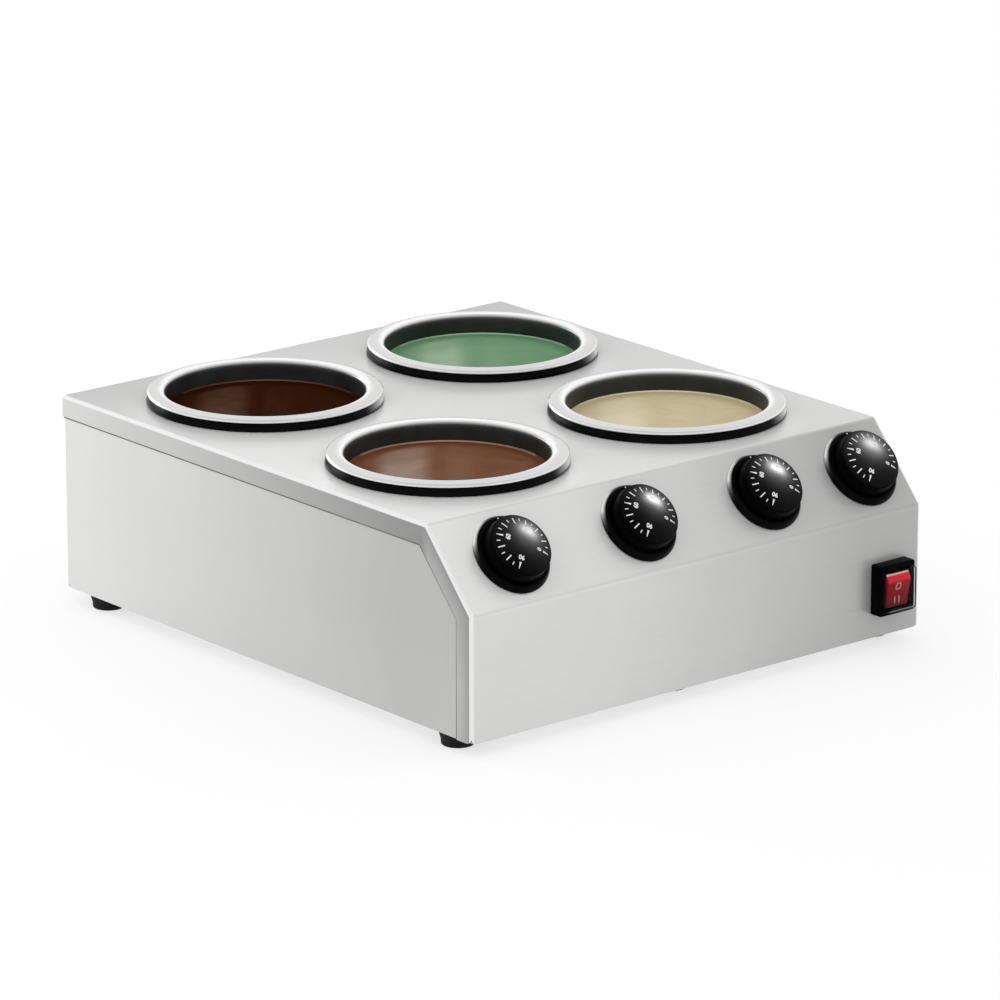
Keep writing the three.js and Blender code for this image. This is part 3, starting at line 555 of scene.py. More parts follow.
# The edge levels are painted highlights on folds and the rim; the cover's and the side's levels are painted
# light and shade.
cover_steel = brushed_steel("brushed_cover_steel", "cover", 0.3, ACROSS, edge=0.98, contrast=0.05, metal=0.25)
side_steel = brushed_steel("brushed_side_steel", "side", 0.34, LENGTHWISE, metal=0.7)
rear_steel = brushed_steel("brushed_rear_steel", 0.6, 0.38, ACROSS)
base_steel = brushed_steel("plain_base_steel", 0.5, 0.45, ACROSS, contrast=0.1)
rim_steel = brushed_steel("turned_rim_steel", 0.68, 0.22, AROUND, "UV", contrast=0.06, edge=0.98, metal=0.85)
well_metal = brushed_steel("pressed_well_metal", 0.42, 0.42, AROUND, "UV", contrast=0.1)
heater_metal = brushed_steel("cast_heater_metal", 0.28, 0.6, evenly(300), contrast=0.25)
spindle_steel = brushed_steel("ground_spindle_steel", 0.6, 0.3, (900, 900, 200))
thermostat_metal = brushed_steel("plated_thermostat_metal", 0.52, 0.4, evenly(200), tint=(1, 0.98, 0.92))
sensor_copper = brushed_steel("drawn_copper", 0.6, 0.35, evenly(500), tint=(1, 0.55, 0.38))
screw_steel = brushed_steel("screw_steel", 0.58, 0.28, evenly(800))

# The pale levels below are painted light: the lining's highlight, the collar's reflection and the bezel's
# crescent.
lining_black = moulded("black_pot_lining", (0.0175, 0.018, 0.018), 0.4, 900, strength=0.2, pale=0.13, gloss=0.3)
collar_black = moulded("glossy_collar_black", 0.0015, 0.22, 500, dust=0.1, pale=0.78, gloss=0.04)
knob_black = moulded("glossy_knob_black", (0.0006, 0.0006, 0.0007), 0.3, 300, strength=0.02, dust=0,
                     gloss=0.016)
bezel_black = moulded("bezel_black", 0.0012, 0.2, 500, strength=0.03, dust=0.1, pale=1, gloss=0.03)
switch_black = moulded("switch_black", 0.0008, 0.3, 500, dust=0.05, gloss=0.02)
gland_black = moulded("gland_black", 0.01, 0.42, 500)
foot_rubber = moulded("foot_rubber", 0.004, 0.6, 700, strength=0.3, dust=0.4, gloss=0.2)
seal_rubber = moulded("seal_rubber", 0.01, 0.6, 700)
# Dark sealant; on the seam it stands in for the shadow under the lips, painted paler towards the front.
seam_dark = moulded("seam_sealant_and_painted_shadow", 0.17, 0.7, 700, pale=0.5, gloss=0.1)
terminal_white = moulded("terminal_plastic", (0.74, 0.72, 0.64), 0.45, 500, spread=0.06)
sleeve_grey = moulded("wire_sleeve", (0.03, 0.03, 0.033), 0.55, 600)
print_white = moulded("dial_print", (0.92, 0.92, 0.9), 0.45, 1500, spread=0.04, dust=0)
mark_pink = moulded("rocker_print", (0.62, 0.3, 0.3), 0.4, 900, spread=0.08, dust=0)
rocker_red, cap_clear = lit_red(), clear_plastic()

MELTED = {
    "milk": melted("melted_milk_chocolate", (0.18, 0.077, 0.042), (0.22, 0.1, 0.058)),
    "white": melted("melted_white_chocolate", (0.62, 0.53, 0.335), (0.69, 0.6, 0.395),
                    band=(0.9, 0.86, 0.76), line=1.25),
    "dark": melted("melted_dark_chocolate", (0.031, 0.0085, 0.003), (0.042, 0.012, 0.005),
                   wet=0.03, painted_sheen=(0.042, 0.024, 0.015)),
    "green": melted("melted_green_coating", (0.168, 0.325, 0.178), (0.2, 0.365, 0.21),
                    band=(0.7, 0.86, 0.72), line=1.5),
}


# Folded cover

def stations(*marks, step=6):
    """Values from each mark to the next, at most a step apart."""
    parts = [linspace(a, b, max(1, ceil((b - a) / step)) + 1)[:-1] for a, b in zip(marks, marks[1:])]
    return concatenate([*parts, [marks[-1]]])


def head(inset):
    """Where deck and slope meet on the side view drawn in by an inset."""
    shift = inset * (1 - cos(SLOPE_ANGLE)) / sin(SLOPE_ANGLE)
    return stack([FRONT + SLOPE_RUN + shift, DECK - inset], -1)


def foot(inset):
    """Where slope and front meet on the side view drawn in by an inset."""
    shift = inset * (1 - sin(SLOPE_ANGLE)) / cos(SLOPE_ANGLE)
    return stack([FRONT + inset, SLOPE_FOOT - shift], -1)


def outline(inset, rise, flat_shares, steps=8):
    """The cover's side view drawn in by each inset: rear lip, deck, slope and front, their corners
    rounded by the bend less the inset. A flat is shared out by the same shares at every inset.
    The front ends higher by each rise, which rounds its lower corners."""
    radius = np.maximum(BEND - inset, 0.12)
    drawn = inset + radius
    centres = [stack([BACK - drawn, DECK - drawn], -1), head(drawn), foot(drawn)]
    turns = (0, pi / 2, pi / 2 + SLOPE_ANGLE, pi)
    ends, arcs = [stack([BACK - inset, np.full_like(inset, DECK - LIP)], -1)], []
    for centre, start, end in zip(centres, turns, turns[1:]):
        ways = polar(linspace(start, end, steps + 1))
        arcs.append(centre[None] + radius[None, :, None] * ways[:, None])
        ends += [arcs[-1][0], arcs[-1][-1]]
    ends.append(stack([FRONT + inset, UNDERSIDE + rise], -1))
    rows = []
    for i, shares in enumerate(flat_shares):
        a, b = ends[2 * i:2 * i + 2]
        rows.append(a[None] + (b - a)[None] * np.asarray(shares)[:, None, None])
        rows += [arc[1:-1] for arc in arcs[i:i + 1]]
    return concatenate(rows)


def hole_ring(loop, centre, radius=None, half=None):
    """Grid from a loop of points in to a hole round a centre: a circle, or in the upright front a
    rectangle of half sizes."""
    away = loop - centre
    if radius:
        edge = centre + away * (radius / np.linalg.norm(away, axis=1, keepdims=True))
    else:
        flat = away[:, [0, 2]]
        flat = flat / np.abs(flat / half).max(1, keepdims=True)
        for corner in ((1, 1), (1, -1), (-1, 1), (-1, -1)):
            target = np.multiply(corner, half)
            flat[np.argmin(np.linalg.norm(flat - target, axis=1))] = target
        edge = centre + np.insert(flat, 1, 0, axis=1)
    return loop[None] + (edge - loop)[None] * array([0, 0.5, 1])[:, None, None]


def corner_rise(run):
    """How far the lower edge rises beside a rounded corner in the middle of the side bend, by the
    distance run along the sheet: a circle's arc up to the corner on either side."""
    reach = clip(CORNER - np.abs(run - 0.9 * SIDE_BEND), 0, CORNER)
    return CORNER - np.sqrt(CORNER ** 2 - reach ** 2)


SLOPE_MIDDLE = (FRONT + SLOPE_RUN / 2, SLOPE_FOOT + SLOPE_DROP / 2)
KNOB_XS = [middle_mm(f"bezel_{number}")[0] for number in NUMBERS]
SWITCH_X, _, SWITCH_Z = middle_mm("switch_housing")
CENTRES = {place: middle_mm(f"pot_{place}")[:2] for place in PLACES}


def folded_cover():
    """One sheet: a grid across the housing whose rows follow the side view, with a ring of faces
    round every hole, then given its thickness."""
    inner = HALF_WIDTH - SIDE_BEND
    between = [(a + b) / 2 for a, b in zip(KNOB_XS, KNOB_XS[1:])]
    edges = [-inner + SUPPORT, *between, inner - SUPPORT]
    xs = stations(*sorted([-inner, *edges, -inner + 3, 0, inner - 3, inner]))
    arc = linspace(0, pi / 2, 9)[1:]
    lip_inset = array([SIDE_BEND + SUPPORT, 3.6, 5, 8, 11, LIP - SUPPORT, LIP])
    side_x = concatenate([inner + SIDE_BEND * np.sin(arc), np.full(len(lip_inset), HALF_WIDTH)])
    side_inset = concatenate([SIDE_BEND * (1 - np.cos(arc)), lip_inset])
    # Marks for painted light: 1 on the side fold's arc for a painted highlight, -1 to -0.5 on the lip for
    # painted shade beside the fold, 0.5 on the flat's last columns.
    side_mark = concatenate([np.ones(len(arc)), linspace(-1, -0.5, len(lip_inset))])
    side_mark[len(arc) - 1] = 0
    run = concatenate([SIDE_BEND * arc, SIDE_BEND * pi / 2 + lip_inset - SIDE_BEND])
    both = lambda side, flat, sign=1: concatenate([sign * side[::-1], flat, side])
    columns_x, level = both(side_x, xs, -1), np.zeros(len(xs))
    insets, marks = both(side_inset, level), both(side_mark, level)
    marks[len(side_x)] = marks[-len(side_x) - 1] = 0.5
    rises = both(corner_rise(run), corner_rise(np.abs(xs) - inner))

    ease, ease_foot = (BEND * tan(angle / 2) for angle in (SLOPE_ANGLE, pi / 2 - SLOPE_ANGLE))
    deck_start, deck_end = BACK - BEND, FRONT + SLOPE_RUN + ease
    deck_middle = sum({round(y, 3) for _, y in CENTRES.values()}) / 2
    deck_marks = [deck_start, deck_start - SUPPORT, deck_middle, deck_end + SUPPORT, deck_end]
    deck = stations(*[deck_start - m for m in deck_marks]) / (deck_start - deck_end)
    slope_length = hypot(SLOPE_RUN, SLOPE_DROP) - ease - ease_foot
    slope = stations(0, SUPPORT, slope_length - SUPPORT, slope_length) / slope_length
    front_length = SLOPE_FOOT - ease_foot - UNDERSIDE
    front = stations(0, SUPPORT, front_length) / front_length
    rear = stations(0, LIP - BEND - SUPPORT, LIP - BEND) / (LIP - BEND)
    yz = outline(insets, rises, [rear, deck, slope, front])
    points = concatenate([np.broadcast_to(columns_x, yz.shape[:2])[..., None], yz], 2)
    keep = np.ones((points.shape[0] - 1, points.shape[1] - 1), bool)
    shape, bend_rows = Shape(), 7

    def cut(row0, row1, x0, x1, **hole):
        c0, c1 = (int(np.argmin(np.abs(columns_x - x))) for x in (x0, x1))
        keep[row0:row1, c0:c1] = False
        loop = concatenate([points[row0, c0:c1], points[row0:row1, c1],
                            points[row1, c1:c0:-1], points[row1:row0:-1, c0]])
        shape.add(hole_ring(loop, **hole))

    deck_row = len(rear) + bend_rows
    slope_row = deck_row + len(deck) + bend_rows
    front_row = slope_row + len(slope) + bend_rows
    middle_row = deck_row + int(np.argmin(np.abs(deck - (deck_start - deck_middle) / (deck_start - deck_end))))
    for x, y in CENTRES.values():
        rows = (deck_row + 1, middle_row) if y > deck_middle else (middle_row, deck_row + len(deck) - 2)
        sides = (0, edges[-1]) if x > 0 else (edges[0], 0)
        cut(*rows, *sides, centre=array([x, y, DECK]), radius=WELL)
    for x, x0, x1 in zip(KNOB_XS, edges, edges[1:]):
        cut(slope_row + 1, slope_row + len(slope) - 2, x0, x1, centre=array([x, *SLOPE_MIDDLE]),
            radius=SPINDLE_HOLE)
    cut(front_row + 1, front_row + len(front) - 1, *edges[-2:], half=SWITCH_HOLE,
        centre=array([SWITCH_X, FRONT, SWITCH_Z]))
    shape.add(points, around=False, mark=marks, keep=keep)
    shape.finish("folded_cover", "housing_steel", cover_steel, replaces=["top_cover"], sharp=40,
                 thickness=SHEET)


def upright(x, loop):
    """A loop of places along Y and Z, stood at an x."""
    return np.insert(loop, 0, x, axis=1)


def seam_bead(word, side):
    """A thin dark line of sealant where the lip ends on the side panel, standing in for the shadow under the
    lip's edge and painted paler towards the front: a small square carried along the side view drawn in by
    the lip's width."""
    above, below = (outline(array([inset]), np.zeros(1), [[0, 1]] * 4, steps=1)[[0, 3, 5, 7], 0]
                    for inset in (LIP + 0.04, LIP + 0.95))
    above[0], below[0] = ([BACK - 3.4, DECK - inset] for inset in (LIP + 0.04, LIP + 0.95))
    inner, outer = side * (HALF_WIDTH - 1.25), side * (HALF_WIDTH - 0.15)
    corners = ((outer, above), (outer, below), (inner, below), (inner, above))
    grid = stack([upright(x, line) for x, line in corners], 1)
    # Painted light: paler towards the front.
    paler = array([[0], [0.15], [0.6], [0.85]])
    Shape().tube(grid, mark=paler).finish(f"seam_bead_{word}", "panel_steel", seam_dark, sharp=40)


def side_sheet(word, side):
    """A flat sheet under the lips, as the CAD part's: its side view rounded at the two lower corners,
    closed across its thickness."""
    inset, rear = SHEET + BEND, BACK - SHEET - SIDE_BEND
    loop = rounded([(FRONT + inset, UNDERSIDE, CORNER), (rear, UNDERSIDE, REAR_CORNER), (rear, DECK - inset, 0),
                    (*head(inset), 0), (*foot(inset), 0)], steps=8, closed=True)
    near = HALF_WIDTH - SHEET - SEAT
    rings = stack([upright(side * (near - d), loop) for d in (0, SHEET)])
    Shape().tube(rings).finish(f"side_sheet_{word}", "panel_steel", side_steel,
                               replaces=[f"{word}_side_panel"], sharp=40)


def corner_seal(word, side):
    """A thin round cord upright in the gap between the rear panel's end and the side sheet's."""
    panel_low, panel_high = box_mm("rear_panel")
    x, y = (panel_high[0] + HALF_WIDTH - 2 * SHEET - SEAT) / 2, (panel_low[1] + BACK - SHEET - SIDE_BEND) / 2
    low, high, thick = UNDERSIDE + 2, DECK - LIP - 0.4, 0.5
    profile = rounded([(0, high, 0), (thick, high, 0.3), (thick, low, 0.3), (0, low, 0)], steps=3)[::-1]
    lathe_piece(f"corner_seal_{word}", profile, 12, "panel_steel", seam_dark, (side * x, y))


folded_cover()
for word, side in SIDES.items():
    seam_bead(word, side)
    side_sheet(word, side)
    corner_seal(word, side)


# Pots, chocolate, collars and wells

def pot_inner(z):
    """Radius of the pot's inner wall, which tapers evenly from its mouth to its floor corner."""
    floor = POT_BOTTOM + POT_CORNER
    return POT_FLOOR - POT_WALL + (z - floor) / (RIM_UNDER - floor) * (MOUTH - POT_FLOOR + POT_WALL)


def fading(value, start, width):
    """0 up to a start, then rising evenly to 1 over a width."""
    return clip((value - start) / width, 0, 1)


def steel_pot(place, centre):
    """The turned pot. Its rim has a painted highlight in a band round the mouth, wider behind, and along the
    hem towards the viewer; a painted shade dims it at the outer edge behind and down the roll into the mouth."""
    film, top = 0.16, RIM_TOP
    profile = rounded([
        (0, POT_BOTTOM + POT_WALL - film, 0),
        (POT_FLOOR - POT_WALL + film, POT_BOTTOM + POT_WALL - film, POT_CORNER - POT_WALL),
        (pot_inner(top - 2.2) + film, top - 2.2, 0.6), (MOUTH + 0.4, top - 1.5, 1.6),
        (MOUTH + 2.2, top - 0.05, 2), (MOUTH + 4.2, top, 0), (MOUTH + 6.5, top, 0),
        (RIM - 4, top - 0.08, 0), (RIM - 2.6, top - 0.2, 0), (RIM - 1.2, top - 0.45, 1),
        (RIM, top - 1.5, 1), (RIM - 0.1, RIM_UNDER, 0.5), (MOUTH + POT_WALL + 0.6, RIM_UNDER, 1.2),
        (POT_FLOOR, POT_BOTTOM, POT_CORNER), (0, POT_BOTTOM, 0),
    ])
    radius, height = profile.T[..., None]
    # Marks for painted highlight and shade on the rim, set by the bearing from the viewer.
    hem = exp(-((radius - RIM) / 0.5) ** 2) * exp(-((height - top + 1.2) / 0.6) ** 2)
    facing = np.cos(np.radians(bearing(POT_SIDES, VIEWER)))
    behind, ahead = clip(-facing * 2.2 - 0.3, 0, 1), clip(facing * 1.6 - 0.4, 0, 1)
    upper = height > top - 0.8
    reach = 2.2 + 2.6 * behind
    mark = upper * exp(-((radius - MOUTH - 2 - 1.6 * behind) / reach) ** 4) * (1 - ahead)
    mark = mark - 0.8 * upper * behind * fading(radius, RIM - 3.2, 1.6)
    mark = mark + 0.4 * upper * ahead * fading(radius, RIM - 4.2, 1.6)
    mark = np.where(hem > 0.1, hem * np.where(facing > -0.3, 1, -0.8), mark)
    inward = (radius < MOUTH + 1.6) & (height > top - 2.4)
    mark = np.where(inward, mark - fading(-height, 0.6 - top, 1.4) * (0.85 + mark), mark)
    lathe_piece(f"steel_pot_{place}", profile, POT_SIDES, "pot_metal", rim_steel, centre,
                body=f"lift_pot_{place}", replaces=[f"pot_{place}"], mark=mark)


def pot_lining(place, centre):
    """A thin coat on the inside of the pot, up to just under the rim's inner roll, with a painted highlight
    fading down from the roll.
    """
    film, top, floor = 0.12, RIM_TOP - 2, POT_BOTTOM + POT_WALL
    inside = rounded([(0, floor, 0), (POT_FLOOR - POT_WALL, floor, POT_CORNER - POT_WALL),
                      *[(pot_inner(top - d), top - d, 0) for d in (5, 3, 2, 1.2, 0.6, 0)]], steps=10)
    radius, height = inside.T
    outside = stack([radius + film * (radius > 0), height - film * (height < POT_BOTTOM + 4)], 1)
    profile = concatenate([inside, outside[::-1]])
    # Painted highlight, fading down from the top edge.
    painted_highlight_fade = exp(-((top - profile[:, 1]) / 0.8)) * (profile[:, 1] > top - 5)
    lathe_piece(f"pot_lining_{place}", profile, POT_SIDES, "pot_metal", lining_black, centre,
                body=f"lift_pot_{place}", mark=painted_highlight_fade[:, None])


def disc_grid(shares, sides, radius):
    """Share of the radius, angle, x and y for every point of a disc's grid."""
    share, angle = np.meshgrid(shares, linspace(0, 2 * pi, sides, endpoint=False), indexing="ij")
    return share, angle, share * radius * np.cos(angle), share * radius * np.sin(angle)


def chocolate_fill(place, centre, filling, phase):
    """Surface height: slow ripples that fade towards the wall, and a raised edge where it clings.
    A painted reflection with a glossy coat falls on it in upright stripes, left of the middle and just
    right of it; painted shade darkens the band round the back wall, and a thin painted highlight runs
    along its edge."""
    clear = 0.06
    edge = pot_inner(CHOCOLATE_TOP) - clear
    shares = concatenate([linspace(0, 0.9, 34), linspace(0.92, 1, 12)])
    share, angle, x, y = disc_grid(shares, POT_SIDES, edge)
    ripple = (0.16 * np.sin(x / 15 + phase) * np.cos(y / 19 - phase)
              + 0.1 * np.sin((x + 1.4 * y) / 23 + 2 * phase)) * (1 - share ** 4)
    cling = 0.9 * fading(share, 0.93, 0.07) ** 2.2
    swirl = 0.14 * np.cos(share * 9 + angle + phase) * exp(-((share - 0.45) / 0.25) ** 2)
    top = stack([centre[0] + x, centre[1] + y, CHOCOLATE_TOP - 0.4 + ripple + cling + swirl], 2)
    low = POT_BOTTOM + POT_WALL + clear
    side = rounded([(edge, CHOCOLATE_TOP - 1, 0),
                    (POT_FLOOR - POT_WALL - clear, low, POT_CORNER - POT_WALL), (0, low, 0)], steps=8)
    below = turned(side, POT_SIDES, centre)
    right, away = (0.768 * x - 0.64 * y) / edge, (0.64 * x + 0.768 * y) / edge
    # Painted reflection: upright stripes left of the middle and just right of it.
    painted_light_bands = exp(-((right + 0.44) / 0.24) ** 4) + 0.12 * exp(-((right - 0.12) / 0.13) ** 4)
    wet = clip((0.9 - share) / 0.1, 0, 1) * painted_light_bands
    # Painted highlight: a thin bright line along the back edge.
    glint = (share > 0.975) * (away > 0) * exp(-(right / 0.5) ** 2)
    # Painted shade: the band round the back wall is marked below 0.
    mark = np.where(glint > 0.05, 1 + glint, wet - fading(share, 0.84, 0.1) * fading(away, -0.2, 0.3))
    mark = concatenate([mark, np.zeros(below.shape[:2])])
    shape = Shape().add(concatenate([top, below]), mark=mark)
    shape.finish(f"chocolate_fill_{place}", f"chocolate_{filling}", MELTED[filling], f"lift_pot_{place}",
                 replaces=[f"chocolate_{place}"], sharp=60)


def collar_ring(place, centre):
    """A turned ring; its flank has a painted reflection on the right, above a thin dark line at its foot."""
    bottom, top = DECK + SEAT, RIM_UNDER - SEAT
    profile = rounded([
        (COLLAR_SPIGOT, bottom, 0.4), (COLLAR, bottom, 0.5), (COLLAR - 0.6, bottom + 2.5, 2),
        (COLLAR - 2.4, top, 1.2), (COLLAR_BORE, top, 0.6), (COLLAR_BORE, DECK - 6, 0.5),
        (COLLAR_SPIGOT, DECK - 6, 0.5),
    ], steps=5, closed=True)
    off = bearing(POT_SIDES, VIEWER)
    # Painted reflection on the flank, set by the bearing from the viewer.
    shine = fading(off, 60, 20) ** 1.5 * (off < 165)
    flank = (profile[:, 1] > bottom + 0.9) & (profile[:, 0] > COLLAR - 3)
    lathe_piece(f"collar_ring_{place}", profile, POT_SIDES, "collar_black", collar_black, centre,
                replaces=[f"collar_{place}"], mark=flank[:, None] * shine)


def well_cup(place, centre):
    low, high = box_mm(f"well_{place}")
    floor, top = low[2], high[2]
    outer, flange = WELL + SHEET, WELL + SHEET + WELL_FLANGE
    profile = rounded([
        (0, floor + SHEET, 0), (WELL, floor + SHEET, 8), (WELL, top, 0.4), (flange, top, 0.3),
        (flange, top - SHEET, 0.3), (outer, top - SHEET, 0.8), (outer, floor, 9), (0, floor, 0),
    ], steps=5)
    lathe_piece(f"well_cup_{place}", profile, WELL_SIDES, "well_metal", well_metal, centre,
                replaces=[f"well_{place}"])


for index, (place, filling) in enumerate(zip(PLACES, ("milk", "white", "dark", "green"))):
    centre = CENTRES[place]
    steel_pot(place, centre)
    pot_lining(place, centre)
    chocolate_fill(place, centre, filling, 0.9 + 1.7 * index)
    collar_ring(place, centre)
    well_cup(place, centre)


# Knobs and bezels on the slope

SLOPE_UP = (0, cos(SLOPE_ANGLE), sin(SLOPE_ANGLE))
SLOPE_OUT = (0, -sin(SLOPE_ANGLE), cos(SLOPE_ANGLE))


def dome(radius):
    """Height of the knob's face: the crown falls with the radius to the power 2.2."""
    return KNOB_FACE_HEIGHT + KNOB_CROWN * (1 - (np.asarray(radius) / KNOB_FACE) ** 2.2)


def domed_knob(number, where):
    radii = linspace(0, 0.955, 26) * KNOB_FACE
    face = stack([radii, dome(radii)], 1)
    hub, bore, bore_top = 6.5, 3.3, 14.9
    inside = KNOB_FACE_HEIGHT - 2
    edge = rounded([
        (*face[-1], 0), (KNOB_FACE + 0.1, KNOB_FACE_HEIGHT - 0.15, 1), (KNOB_SKIRT, KNOB_UNDER, 0.4),
        (KNOB_SKIRT - 2, KNOB_UNDER, 0.4), (KNOB_FACE - 2, inside, 1), (hub, inside, 0.8),
        (hub, KNOB_UNDER, 0.4), (bore, KNOB_UNDER, 0.3), (bore, bore_top, 0), (0, bore_top, 0),
    ])
    lathe_piece(f"domed_knob_{number}", concatenate([face[:-1], edge]), KNOB_SIDES, "knob_black",
                knob_black, where=where, body=f"dial_{number}", replaces=[f"knob_{number}"])


def dial_marks(number, where):
    """Ticks and numerals that lie on the dome: each point's height is the dome's at its radius."""
    shape = Shape()
    for step in range(19):
        angle = radians(-36 + 15 * step)
        inner, outer, wide, narrow = ((15, 19.5, 1.35, 0.35) if step % 6 == 0 else
            (14.7, 19.4, 0.78, 0.78) if step % 2 == 0 else (16.9, 19.2, 0.68, 0.6))
        radius = linspace(inner, outer, 8)[:, None] * np.ones((1, 3))
        half = linspace(wide, narrow, 8)[:, None] / 2 * array([[-1, 0, 1]])
        x = radius * cos(angle) - half * sin(angle)
        y = radius * sin(angle) + half * cos(angle)
        shape.slab(x, y, dome(np.hypot(x, y)), 0.06, 0.08, where)
    shape.finish(f"dial_ticks_{number}", "knob_black", print_white, f"dial_{number}", sharp=40)
    for label, angle in (("0", -36), ("30", 54), ("60", 144), ("90", 234)):
        numeral(label, radians(angle - 90), 11.7, number, where)


def numeral(label, turn, radius, number, where):
    """A printed number, its top towards the knob's edge, laid on the dome."""
    name = f"dial_numeral_{label}_{number}"
    curve = bpy.data.curves.new(name, "FONT")
    curve.body = label
    curve.align_x = curve.align_y = "CENTER"
    curve.size, curve.offset, curve.extrude, curve.resolution_u = 4.3, 0.16, 0.07, 4
    text = new_object(name, curve)
    mesh = evaluated_mesh(text)
    bpy.data.objects.remove(text)
    bpy.data.curves.remove(curve)
    flat = np.zeros(len(mesh.vertices) * 3, np.float32)
    mesh.vertices.foreach_get("co", flat)
    flat = flat.reshape(-1, 3).astype(float)
    flat[:, :2] -= (flat[:, :2].min(0) + flat[:, :2].max(0)) / 2
    a, b, height = flat[:, 0], flat[:, 1] + radius, flat[:, 2]
    x, y = a * cos(turn) - b * sin(turn), a * sin(turn) + b * cos(turn)
    points = placed(stack([x, y, dome(np.hypot(x, y)) + height], 1), *where) * MM
    mesh.vertices.foreach_set("co", points.astype(np.float32).ravel())
    cleaned(mesh)
    mesh.materials.clear()
    mesh.materials.append(print_white)
    mesh.name = name
    dress(new_object(name, mesh), f"dial_{number}")


def bezel_ring(number, where):
    top = BEZEL_TOP
    profile = rounded([
        (6, SEAT, 0.2), (BEZEL, SEAT, 0.3), (BEZEL, 1.6, 1.4), (BEZEL - 1.6, 4.2, 1.6),
        (BEZEL - 2.6, top, 0.8), (BEZEL - 3.9, top, 0.3), (BEZEL - 4.3, top - 0.5, 0.3), (6, top - 0.5, 0.2),
    ], steps=5, closed=True)
    # Painted highlight: a pale crescent on the outer wall at one bearing.
    glint = clip(1.8 * exp(-(bearing(KNOB_SIDES, 134) / 20) ** 2), 0, 1)
    wall = (profile[:, 0] > BEZEL - 0.8) & (profile[:, 1] < 3.1)
    lathe_piece(f"bezel_ring_{number}", profile, KNOB_SIDES, "bezel_black", bezel_black, where=where,
                replaces=[f"bezel_{number}"], mark=wall[:, None] * glint)
    dot = rounded([(0, top - 0.4, 0), (0.55, top - 0.4, 0), (0.55, top + 0.12, 0.1), (0, top + 0.12, 0)],
                  steps=3)
    lathe_piece(f"index_dot_{number}", dot, 20, "bezel_black", print_white, (0, BEZEL - 3.2), where)


for number, x in zip(NUMBERS, KNOB_XS):
    where = (x, *SLOPE_MIDDLE), (1, 0, 0), SLOPE_UP, SLOPE_OUT
    domed_knob(number, where)
    dial_marks(number, where)
    bezel_ring(number, where)


# Rocker switch

SWITCH_WHERE = ((SWITCH_X, FRONT, SWITCH_Z), (1, 0, 0), (0, 0, 1), (0, -1, 0))
# The rocker's own frame at rest: turned about X so that its top stands out
ROCKER_WHERE = ((SWITCH_X, FRONT - PIVOT, SWITCH_Z), (1, 0, 0), (0, -sin(TILT), cos(TILT)),
                (0, -cos(TILT), -sin(TILT)))


def stacked(levels, steps=5):
    """Rounded rectangles, each with half width, half height, corner radius and height, stacked into
    a grid of points in the switch's frame."""
    loops = []
    for wide, high, radius, z in levels:
        turns = [np.radians(start + linspace(0, 90, steps + 1)) for start in (0, 90, 180, 270)]
        middles = np.multiply([(1, 1), (-1, 1), (-1, -1), (1, -1)], (wide - radius, high - radius))
        loop = concatenate([middle + polar(turn, radius) for middle, turn in zip(middles, turns)])
        loops.append(np.insert(loop, 2, z, axis=1))
    return placed(stack(loops), *SWITCH_WHERE)


def softened(wide, high, radius, z, soft, draw, degrees):
    """Levels round a softened edge: drawn in by soft (1 - cos a) and raised by soft sin a."""
    levels = []
    for angle in np.radians(degrees):
        cut = soft * (1 - cos(angle))
        levels.append((wide - cut, high - cut, radius - draw * cut, z + soft * sin(angle)))
    return levels


def switch_frame():
    """The frame's side rises to a softened front edge, then goes down inside to the rocker's pit."""
    face, side = FRAME_REACH, (16, 18, 1.6)
    shape = Shape().tube(stacked([
        (13.5, 15, 0.6, -19), (13.5, 15, 0.6, SEAT), (*side, SEAT), (*side, 8.9),
        *softened(*side, 8.9, 1.1, 0.6, linspace(15, 90, 6)), (13.2, 15.2, 2, face),
        (13, 15, 2, face - 0.25), (11.2, 13.8, 0.8, face - 0.25), (10.8, 13.4, 0.5, face - 0.7),
        (10.8, 13.4, 0.5, -0.5),
    ]))
    tab = stacked([(3.15, 0.5, 0.2, -27), (3.15, 0.5, 0.2, -18)], 2)
    for height in (-10, 0, 10):
        shape.tube(tab + [0, 0, height])
    shape.finish("switch_frame", "switch_black", switch_black, replaces=["switch_housing"], sharp=35)


def rocker_face(b):
    """Depth of the rocker's face at a height: it rises to a ridge near the top, then falls back."""
    return np.where(b < 7.2, 5.6 + 0.9 * (b / 12) ** 2 + 0.03 * b, 6.14 - 0.75 * (b - 7.2))


